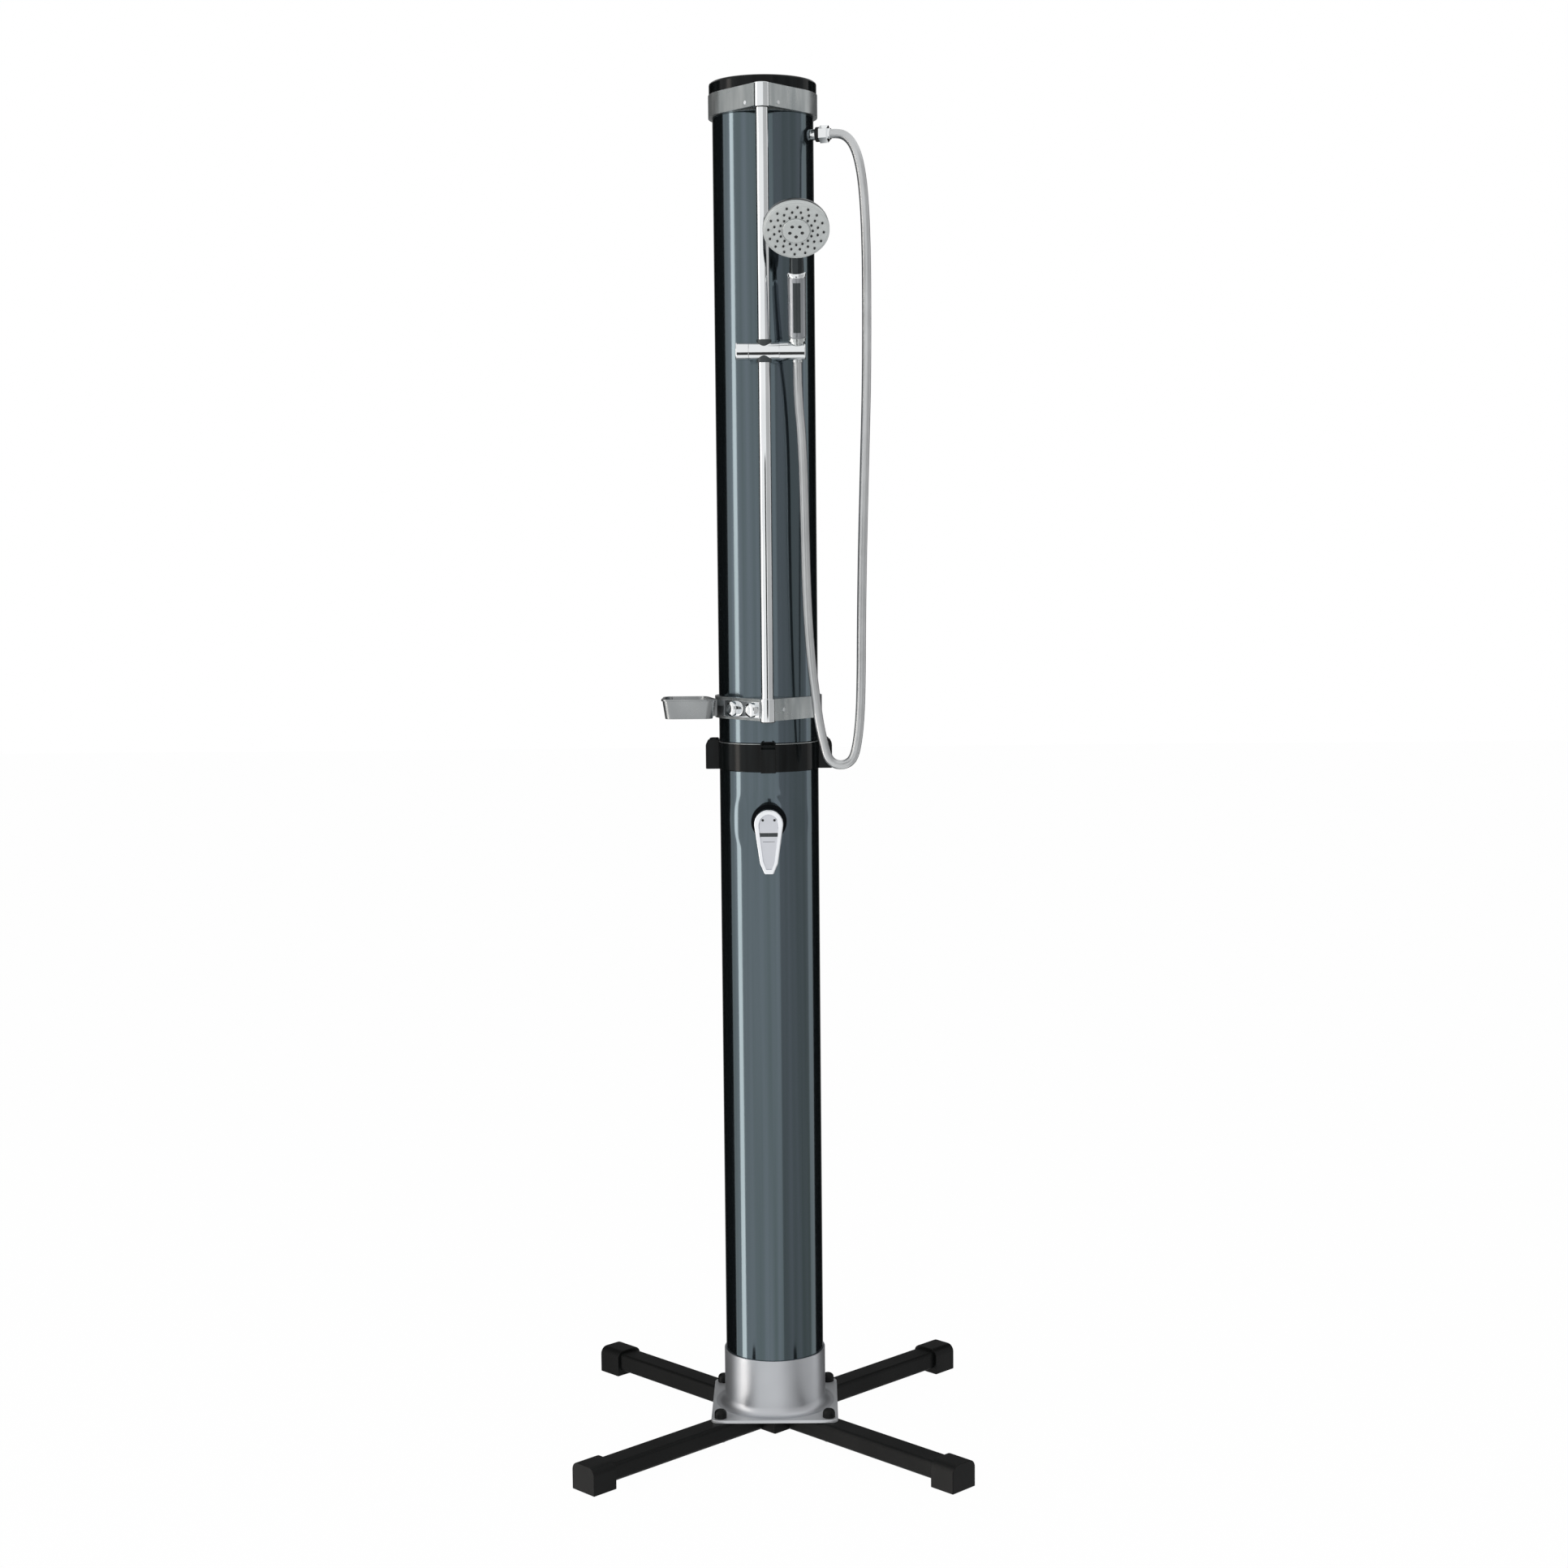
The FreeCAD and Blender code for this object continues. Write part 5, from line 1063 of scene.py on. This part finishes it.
@dataclass
class Foot:
    """Crossed legs with moulded end caps, the hub, the flanged sleeve and its four bolts."""

    leg_turns: tuple[tuple[str, float], ...] = (
        ("front_left", 225), ("front_right", 315), ("rear_left", 135), ("rear_right", 45))
    leg_wide: float = 40 * MM
    leg_corner: float = 6 * MM
    leg_reach: float = 416 * MM
    hub_half: float = 49.5 * MM
    hub_corner: float = 2.5 * MM
    hub_rim: float = 0.8 * MM
    cap_wide: float = 52 * MM
    cap_long: float = 46 * MM
    cap_corner: float = 13 * MM
    cap_end_round: float = 3.2 * MM
    cap_back_rim: float = 1.0 * MM
    tread_corner: float = 1.2 * MM
    plate_corner: float = 12 * MM
    plate_thick: float = 5 * MM
    plate_low_rim: float = 0.7 * MM
    plate_top_rim: float = 0.9 * MM
    sleeve_gap: float = 0.2 * MM
    sleeve_wall: float = 2.8 * MM
    sleeve_rim: float = 0.8 * MM
    sleeve_steps: int = 160
    flare_step: float = 0.25 * MM
    sleeve_flare: float = 14 * MM
    bolt_head_half: float = 6.5 * MM
    bolt_cap_round: float = 7 * MM
    bolt_cap_rim: float = 0.5 * MM
    bolt_cap_steps: int = 48

    def build(self) -> None:
        """Make the whole foot."""
        self.leg_low = Extent.of("foot_hub").low.z
        self.leg_high = Extent.of("foot_hub").high.z
        self._hub()
        for side, turn in self.leg_turns:
            self._leg(side, turn)
            self._foot_cap(side, turn)
        self._sleeve()
        self._bolt_caps()
        dress("foot_bolts", Finishes.ZINC)
        dress("foot_nuts", Finishes.ZINC)

    @staticmethod
    def _along_leg(turn: float) -> Matrix:
        """A frame whose Z runs out along a leg and whose Y is up."""
        angle = math.radians(turn)
        across = (-math.sin(angle), math.cos(angle), 0)
        outward = (math.cos(angle), math.sin(angle), 0)
        return Matrix((across, (0, 0, 1), outward)).transposed().to_4x4()

    def _hub(self) -> None:
        """The square casting that the legs plug into."""
        form = Form.slab(square(self.hub_half, self.hub_corner, 4), self.leg_high - self.leg_low,
                         self.hub_rim, self.hub_rim)
        form.move(Matrix.Rotation(math.radians(45), 4, "Z")).lift(z=self.leg_low)
        form.publish("hub_casting", Finishes.LEG_BLACK, "foot_hub")

    def _leg(self, side: str, turn: float) -> None:
        """One leg of rounded box section."""
        half = self.leg_wide / 2
        low, high = self.leg_low, self.leg_high
        length = self.leg_reach - self.cap_long / 2 - self.hub_half
        form = Form.slab([Corner(x * half, y, self.leg_corner, 6)
                          for x, y in ((-1, low), (1, low), (1, high), (-1, high))], length)
        form.lift(z=self.hub_half).move(self._along_leg(turn))
        form.publish(f"leg_tube_{side}", Finishes.LEG_BLACK, f"leg_{side}")

    def _foot_cap(self, side: str, turn: float) -> None:
        """The arched cap over the end of a leg, with its thick tread."""
        half = self.cap_wide / 2
        high = Extent.of(f"foot_cap_{side}").high.z
        form = Form.slab([Corner(-half, 0, self.tread_corner, 3), Corner(half, 0, self.tread_corner, 3),
                          Corner(half, high, self.cap_corner, 10), Corner(-half, high, self.cap_corner, 10)],
                         self.cap_long, self.cap_back_rim, self.cap_end_round)
        form.lift(z=self.leg_reach - self.cap_long).move(self._along_leg(turn))
        form.publish(f"foot_end_{side}", Finishes.FOOT_BLACK, f"foot_cap_{side}")

    def _sleeve(self) -> None:
        """The square plate and the flared sleeve that stands on it."""
        reach = Extent.of("base_sleeve")
        top = reach.low.z + self.plate_thick
        inner = Extent.of("upper_tube").high.x + self.sleeve_gap
        outer = inner + self.sleeve_wall
        plate = Form.slab(square(reach.high.x, self.plate_corner, 8), self.plate_thick, self.plate_low_rim,
                          self.plate_top_rim)
        plate.lift(z=reach.low.z).publish("flange_plate", Finishes.PLATE_STEEL, "base_sleeve")
        step = self.flare_step
        hem = outer + self.sleeve_flare + 2 * step
        sleeve = Form.lathe([
            Corner(inner, top - MM), Corner(hem, top - MM), Corner(hem, top + step),
            Corner(outer, top + step, self.sleeve_flare, 14),
            Corner(outer, reach.high.z, self.sleeve_rim, 4),
            Corner(inner, reach.high.z, self.sleeve_rim, 4)], self.sleeve_steps)
        sleeve.publish("flared_sleeve", Finishes.SLEEVE_STEEL, "base_sleeve")

    def _bolt_caps(self) -> None:
        """Four domed caps over the foot bolts."""
        reach = Extent.of("bolt_caps")
        offset = Extent.of("foot_bolts").size.x / 2 - self.bolt_head_half
        radius = reach.high.x - offset
        cap = disc(radius, reach.low.z, reach.high.z, self.bolt_cap_rim, self.bolt_cap_round,
                   self.bolt_cap_steps)
        caps = cap.at_each(Matrix.Translation((x * offset, y * offset, 0)) for x, y in SQUARE)
        caps.publish("bolt_domes", Finishes.FOOT_BLACK, "bolt_caps")


# ---------------------------------------------------------------- rail and brackets

@dataclass
class RailSet:
    """The slide rail between its two tear-shaped brackets."""

    rim: float = 0.7 * MM
    rail_wall: float = 1.5 * MM
    boss_radius: float = 12.5 * MM
    boss_foot: float = 1.6 * MM
    boss_proud: float = 0.3 * MM
    boss_gap: float = 0.2 * MM
    boss_rim: float = 0.9 * MM
    boss_steps: int = 72
    seal_thick: float = 0.9 * MM
    seal_drop: float = 1.2 * MM
    seal_rim: float = 0.2 * MM
    rail_rim: float = 0.4 * MM
    rail_steps: int = 64

    def build(self) -> None:
        """Make the rail and the brackets."""
        reach = Extent.of("slide_rail")
        radius = reach.size.x / 2
        for side in ("upper", "lower"):
            node = f"{side}_bracket"
            recast(node, f"{side}_tear_bracket", Finishes.BRACKET_SATIN, self.rim)
            low = Extent.of(node).low.z - self.boss_foot
            high = Extent.of(node).high.z + self.boss_proud
            boss = ring(radius + self.boss_gap, self.boss_radius, low, high, self.boss_rim, self.boss_steps)
            boss.lift(y=reach.centre.y).publish(f"{side}_rail_boss", Finishes.CHROME, node)
            seal = ring(radius, radius + self.seal_thick, low - self.seal_drop, low + MM, self.seal_rim,
                        self.boss_steps)
            seal.lift(y=reach.centre.y).publish(f"{side}_rail_seal", Finishes.RUBBER, node)
        dress("bracket_screws", Finishes.CHROME)
        rail = ring(radius - self.rail_wall, radius, reach.low.z, reach.high.z, self.rail_rim,
                    self.rail_steps)
        rail.lift(y=reach.centre.y).publish("chrome_rail", Finishes.CHROME, "slide_rail")


@dataclass
class Slider:
    """The clamp on the rail, its turning knob and the tilting holder."""

    rim: float = 0.5 * MM

    def build(self) -> None:
        """Make the slider's pieces."""
        # The bush's dark grey is partly its own tone and partly painted shade round the rail above and below the
        # slider.
        dress("slider_bush", Finishes.INLAY_GREY_AND_SHADE)
        recast("slider_body", "slider_barrel", Finishes.CHROME, self.rim)
        recast("clamp_knob", "clamp_grip", Finishes.CHROME, self.rim)
        recast("handset_holder", "holder_socket", Finishes.CHROME, self.rim)


# ---------------------------------------------------------------- hand shower

@dataclass
class HandShower:
    """The hand shower, built upright and then leant with its holder.

    The turned outlines are in millimetres: radius, height, and how a corner is rounded.
    The cone's and the collar's heights run up the grip from where the holder holds it;
    the dial's run backwards from its front.
    """

    cone_outline: tuple[tuple[float, ...], ...] = (
        (4, -17), (8.75, -17, 0.8, 3), (10.5, 16, 0.6, 3), (13.5, 16, 0.6, 3), (13.5, 22, 0.6, 3), (4, 22))
    cone_steps: int = 64
    collar_outline: tuple[tuple[float, ...], ...] = (
        (4, 115), (14.25, 115, 0.4, 3), (14.75, 116.6, 0.5, 3), (14.75, 120.2, 1.4, 5), (13.25, 122, 0.5, 3),
        (4, 122))
    collar_steps: int = 72
    dial_outline: tuple[tuple[float, ...], ...] = (
        (0, 3), (21.5, 3), (21.5, 0, 0.4, 3), (47.3, 0, 0.3, 3), (47.9, 0.5, 0.3, 3), (50.5, 0.7, 1.4, 5),
        (50.5, 7, 0.4, 3), (0, 7))
    dial_steps: int = 128
    seat_depth: float = 3 * MM
    plate_proud: float = 1.2 * MM
    jet_count: int = 5
    jet_circle: float = 9.8 * MM
    jet_radius: float = 3.7 * MM
    jet_proud: float = 0.3 * MM
    jet_steps: int = 32
    nozzle_swell: float = 0.6 * MM
    grip_rim: float = 0.5 * MM
    head_rim: float = 0.4 * MM
    plate_rim: float = 0.25 * MM

    def build(self) -> None:
        """Make every piece of the hand shower."""
        leaning = Matrix.Translation(holder_place()) @ Matrix.Rotation(HOLDER_LEAN, 4, "X")
        cone = Form.lathe(drawn(*self.cone_outline), self.cone_steps).move(leaning)
        cone.publish("hose_end_cone", Finishes.SATIN_CHROME, "hose_cone")
        recast("handset_handle", "grip", Finishes.HANDLE_SATIN, self.grip_rim)
        recast("handle_inlay", "grip_inlay", Finishes.INLAY_GREY_AND_SHADE)
        collar = Form.lathe(drawn(*self.collar_outline), self.collar_steps).move(leaning)
        collar.publish("bright_collar", Finishes.CHROME, "neck_ring")
        # The head shell's near-black tone is painted shade for the neck under the spray face.
        recast("handset_head", "head_shell", Finishes.SHADE_PAINTED_CHROME, self.head_rim)
        self._face()

    def _face(self) -> None:
        """The turning dial, its nozzles and the jet plate in the middle."""
        joint = joint_named("spray_dial_turn")
        outward = Vector(joint["axis"]).normalized()
        if outward.y > 0:
            outward = -outward
        plate = Extent.of("jet_plate")
        centre = plate.centre + outward * (self.seat_depth - self.plate_proud) / 2
        turn = Vector((0, 0, 1)).rotation_difference(-outward).to_matrix().to_4x4()
        facing = Matrix.Translation(centre) @ turn
        dial = Form.lathe(drawn(*self.dial_outline), self.dial_steps, closed=False)
        dial.move(facing).publish("dial_face", Finishes.SPRAY_FACE, "spray_dial")
        nozzles = Form.copy_of("spray_nozzles").swell(self.nozzle_swell)
        nozzles.publish("nozzle_tips", Finishes.NOZZLE_RUBBER, "spray_nozzles")
        recast("jet_plate", "jet_disc", Finishes.SPRAY_FACE, self.plate_rim)
        jet = disc(self.jet_radius, -self.plate_proud - self.jet_proud, 0, self.plate_rim, 0, self.jet_steps)
        jets = jet.at_each(Matrix.Rotation(FULL_TURN / self.jet_count * number, 4, "Z")
                           @ Matrix.Translation((0, self.jet_circle, 0)) for number in range(self.jet_count))
        jets.move(facing).publish("jet_tips", Finishes.NOZZLE_RUBBER, "jet_plate")


# ---------------------------------------------------------------- outlet and inlet

@dataclass
class Connections:
    """The hose outlet at the top and the garden-hose inlet at the back of the foot."""

    rim: float = 0.5 * MM

    def build(self) -> None:
        """Make both connections."""
        recast("outlet_nipple", "outlet_stub", Finishes.CHROME, self.rim)
        recast("outlet_washer", "outlet_seal", Finishes.RUBBER, self.rim)
        recast("hose_nut", "swivel_nut", Finishes.CHROME, self.rim)
        recast("inlet_nipple", "inlet_barb", Finishes.GLOSS_BLACK, self.rim)
        dress("outlet_locknut", Finishes.BRASS)
        dress("inlet_locknut", Finishes.INNER_WHITE)


# ---------------------------------------------------------------- mixer

@dataclass
class Mixer:
    """The single-lever mixer on the front of the lower tube."""

    head_radius: float = 23 * MM
    face_reach: float = 24 * MM
    paddle_thick: float = 9 * MM
    shoulders: Disc = (8.5 * MM, -61 * MM, 6 * MM)
    tips: Disc = (5 * MM, -76.5 * MM, 3 * MM)
    blade_middle: float = -28.3 * MM
    rim_inset: float = 0.3 * MM
    rim_share: tuple[float, float] = (0.763, 0.895)
    floor_share: tuple[float, float] = (0.94, 0.985)
    recess: float = 1.7 * MM
    panel_thick: float = 0.45 * MM
    panel_rim: float = 0.2 * MM
    eye_dome: Disc = (0, 3 * MM, 12.5 * MM)
    eye_sides: Disc = (13 * MM, 0, 1.5 * MM)
    eye_feet: Disc = (13.9 * MM, -11.9 * MM, 0.8 * MM)
    grip_top: Disc = (12.8 * MM, -21.6 * MM, 0.8 * MM)
    grip_waist: Disc = (7.9 * MM, -60 * MM, 1.2 * MM)
    grip_end: Disc = (3.8 * MM, -70 * MM, MM)
    grip_segments: int = 32
    groove_top: Disc = (13.9 * MM, -14 * MM, 0.5 * MM)
    groove_foot: Disc = (13.4 * MM, -19.5 * MM, 0.5 * MM)
    groove_thick: float = 0.12 * MM
    score_ends: Disc = (9 * MM, -27.6 * MM, 0.35 * MM)
    score_thick: float = 0.05 * MM
    line_segments: int = 16
    skirt_start: float = 3 * MM
    skirt_wall: float = 2.2 * MM
    skirt_rim: float = 0.6 * MM
    swing_radius: float = 20.5 * MM
    swing_steps: int = 64
    cover_rim: float = 0.4 * MM
    back_rim: float = 1.6 * MM
    front_rim: float = 1.8 * MM

    def build(self) -> None:
        """Make the mixer's visible pieces."""
        pin = Extent.of("lever_pin").centre
        self.axis = Matrix.Translation(pin) @ FACING_FRONT
        # The cover's near-black tone is painted shade for the gap round the lever's head.
        recast("cartridge_cover", "cover_dome", Finishes.SHADE_PAINTED_CHROME, self.cover_rim)
        self._blade()
        self._panels()
        self._skirt()
        dress("temperature_marks", Finishes.RUBBER)
        dress("mixer_spindle", Finishes.BRASS)
        dress("lever_pin", Finishes.ZINC)

    @staticmethod
    def _mirrored(*discs: Disc) -> list[Disc]:
        """Each disc and its copy on the other side of the lever."""
        return [(side * across, up, radius) for across, up, radius in discs for side in (-1, 1)]

    def _draw_in(self, form: Form, face: bmesh.types.BMFace, share: tuple[float, float],
                 depth: float) -> None:
        """Shrink a face towards the blade's middle and sink it, which leaves a rim round it.

        Args:
            form: The blade.
            face: Its front face.
            share: What is left of the face's width and height.
            depth: How far it sinks.
        """
        bmesh.ops.inset_region(form.mesh, faces=[face], thickness=self.rim_inset, depth=0,
                               use_even_offset=True)
        middle = Matrix.Translation((0, self.blade_middle, -depth))
        shrunk = middle @ Matrix.Diagonal((*share, 1, 1)) @ Matrix.Translation((0, -self.blade_middle, 0))
        bmesh.ops.transform(form.mesh, matrix=shrunk, verts=face.verts[:])

    def _hollow_back(self, form: Form) -> None:
        """Hollow the blade's back, so that it swings clear of the cover's ball.

        Args:
            form: The blade, with its back at Z = 0.
        """
        depth = self.face_reach - self.paddle_thick
        back = max((face for face in form.mesh.faces if lies_level(face, 0.0)),
                   key=lambda surface: surface.calc_area())
        bmesh.ops.delete(form.mesh, geom=[back], context="FACES_ONLY")
        ball = bmesh.ops.create_uvsphere(form.mesh, u_segments=self.swing_steps, v_segments=self.swing_steps,
                                         radius=self.swing_radius, matrix=Matrix.Translation((0, 0, -depth)))
        points = ball["verts"]
        surfaces = list({face for point in points for face in point.link_faces})
        edges = list({edge for point in points for edge in point.link_edges})
        bmesh.ops.bisect_plane(form.mesh, geom=points + edges + surfaces, dist=TINY, plane_co=(0, 0, 0),
                               plane_no=(0, 0, 1), clear_inner=True)
        rims = [edge for edge in form.mesh.edges if edge.is_boundary]
        bmesh.ops.triangle_fill(form.mesh, use_beauty=True, use_dissolve=False, edges=rims, normal=(0, 0, -1))
        form.heal()

    def _blade(self) -> None:
        """The tapered paddle, with a raised rim round its sunk front."""
        blade = Form.hull([(0, 0, self.head_radius), *self._mirrored(self.shoulders, self.tips)],
                          self.paddle_thick, self.back_rim, self.front_rim)
        front = max(blade.mesh.faces,
                    key=lambda surface: surface.calc_center_median().z * surface.calc_area())
        self._draw_in(blade, front, self.rim_share, 0.0)
        self._draw_in(blade, front, self.floor_share, self.recess)
        self._hollow_back(blade)
        blade.lift(z=self.face_reach - self.paddle_thick)
        blade.move(self.axis).publish("lever_blade", Finishes.LEVER_CHROME, "mixer_lever")

    def _panels(self) -> None:
        """The two panels in the paddle's sunk front, and beside them a dark strip that paints the groove's shade,
        and a dark score line.
        """
        floor = self.axis @ Matrix.Translation((0, 0, self.face_reach - self.recess))
        eye = Form.hull([self.eye_dome, *self._mirrored(self.eye_sides, self.eye_feet)],
                        self.panel_thick, far_rim=self.panel_rim)
        grip = Form.hull(self._mirrored(self.grip_top, self.grip_waist, self.grip_end),
                         self.panel_thick, far_rim=self.panel_rim, segments=self.grip_segments)
        eye.join(grip).move(floor).publish("lever_panels", Finishes.LEVER_PANEL, "mixer_lever")
        # The dark strip in the groove is painted shade for the step there.
        strip = Form.hull(self._mirrored(self.groove_top, self.groove_foot), self.groove_thick,
                          segments=self.line_segments)
        score = Form.hull(self._mirrored(self.score_ends), self.score_thick, segments=self.line_segments)
        strip.join(score.lift(z=self.panel_thick)).move(floor)
        strip.publish("lever_groove", Finishes.INLAY_GREY_AND_SHADE, "mixer_lever")

    def _skirt(self) -> None:
        """The round skirt behind the paddle."""
        outer = self.head_radius
        inner = outer - self.skirt_wall
        top = self.face_reach - self.paddle_thick + self.front_rim
        skirt = Form.lathe([
            Corner(inner, self.skirt_start), Corner(outer, self.skirt_start, self.skirt_rim, 3),
            Corner(outer, top), Corner(inner, top)])
        skirt.move(self.axis).publish("lever_skirt", Finishes.LEVER_CHROME, "mixer_lever")


# ---------------------------------------------------------------- soap dish

@dataclass
class SoapDish:
    """The open dish on its arm, with the arm's two domed caps."""

    rim: float = 0.6 * MM
    boss_radius: float = 12 * MM
    arm_out: float = 5.2 * MM
    cap_radius: float = 12 * MM
    cap_height: float = 11 * MM
    cap_round: float = 6 * MM
    cap_rim: float = 0.4 * MM
    cap_steps: int = 64
    cap_places: tuple[float, float] = (14 * MM, 62 * MM)

    def build(self) -> None:
        """Make the dish and its arm."""
        recast("soap_dish", "dish_tray", Finishes.DISH_SATIN, self.rim)
        recast("dish_arm", "dish_strap", Finishes.CHROME, self.rim)
        self._caps()

    def _caps(self) -> None:
        """The two domed caps, which stand square on the arm along the bracket's slanted side."""
        rail = -Extent.of("slide_rail").centre.y
        bracket = Extent.of("lower_bracket").high.x
        turn = math.acos((bracket - self.boss_radius) / rail)
        outward = Vector((-math.sin(turn), -math.cos(turn), 0))
        backward = Vector((-math.cos(turn), math.sin(turn), 0))
        facing = Vector((0, 0, 1)).rotation_difference(outward).to_matrix().to_4x4()
        start = Vector((0, -rail, Extent.of("arm_caps").centre.z))
        start += outward * (self.boss_radius + self.arm_out)
        dome = disc(self.cap_radius, 0, self.cap_height, self.cap_rim, self.cap_round, self.cap_steps)
        domes = dome.at_each(Matrix.Translation(start + backward * along) @ facing
                             for along in self.cap_places)
        domes.publish("strap_domes", Finishes.CHROME, "arm_caps")


# ---------------------------------------------------------------- inside the tank

@dataclass
class InnerWorks:
    """What the tank hides: plugs, couplers, pipes and the mixer's body."""

    finishes: tuple[tuple[str, Finishes], ...] = (
        ("base_plug", Finishes.INNER_WHITE), ("top_plug", Finishes.INNER_WHITE),
        ("lower_coupler", Finishes.INNER_WHITE), ("upper_coupler", Finishes.INNER_WHITE),
        ("coupler_seal", Finishes.RUBBER), ("cold_pipe", Finishes.PIPE_WHITE),
        ("hot_pipe", Finishes.PIPE_WHITE), ("mixed_pipe", Finishes.PIPE_WHITE),
        ("mixer_body", Finishes.BRASS), ("mixer_cartridge", Finishes.INNER_WHITE))

    def build(self) -> None:
        """Dress the hidden nodes."""
        for node, finish in self.finishes:
            dress(node, finish)


def main() -> None:
    """Build the studio and every sub-assembly."""
    logging.basicConfig(level=logging.INFO, format="%(name)s %(relativeCreated)d %(message)s")
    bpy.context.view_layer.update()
    for assembly in (Studio(), ShowerHose(), WaterTube(), Foot(), RailSet(), Slider(), HandShower(),
                     Connections(), Mixer(), SoapDish(), InnerWorks()):
        LOG.info("building %s", type(assembly).__name__)
        assembly.build()


if __name__ == "__main__":
    main()
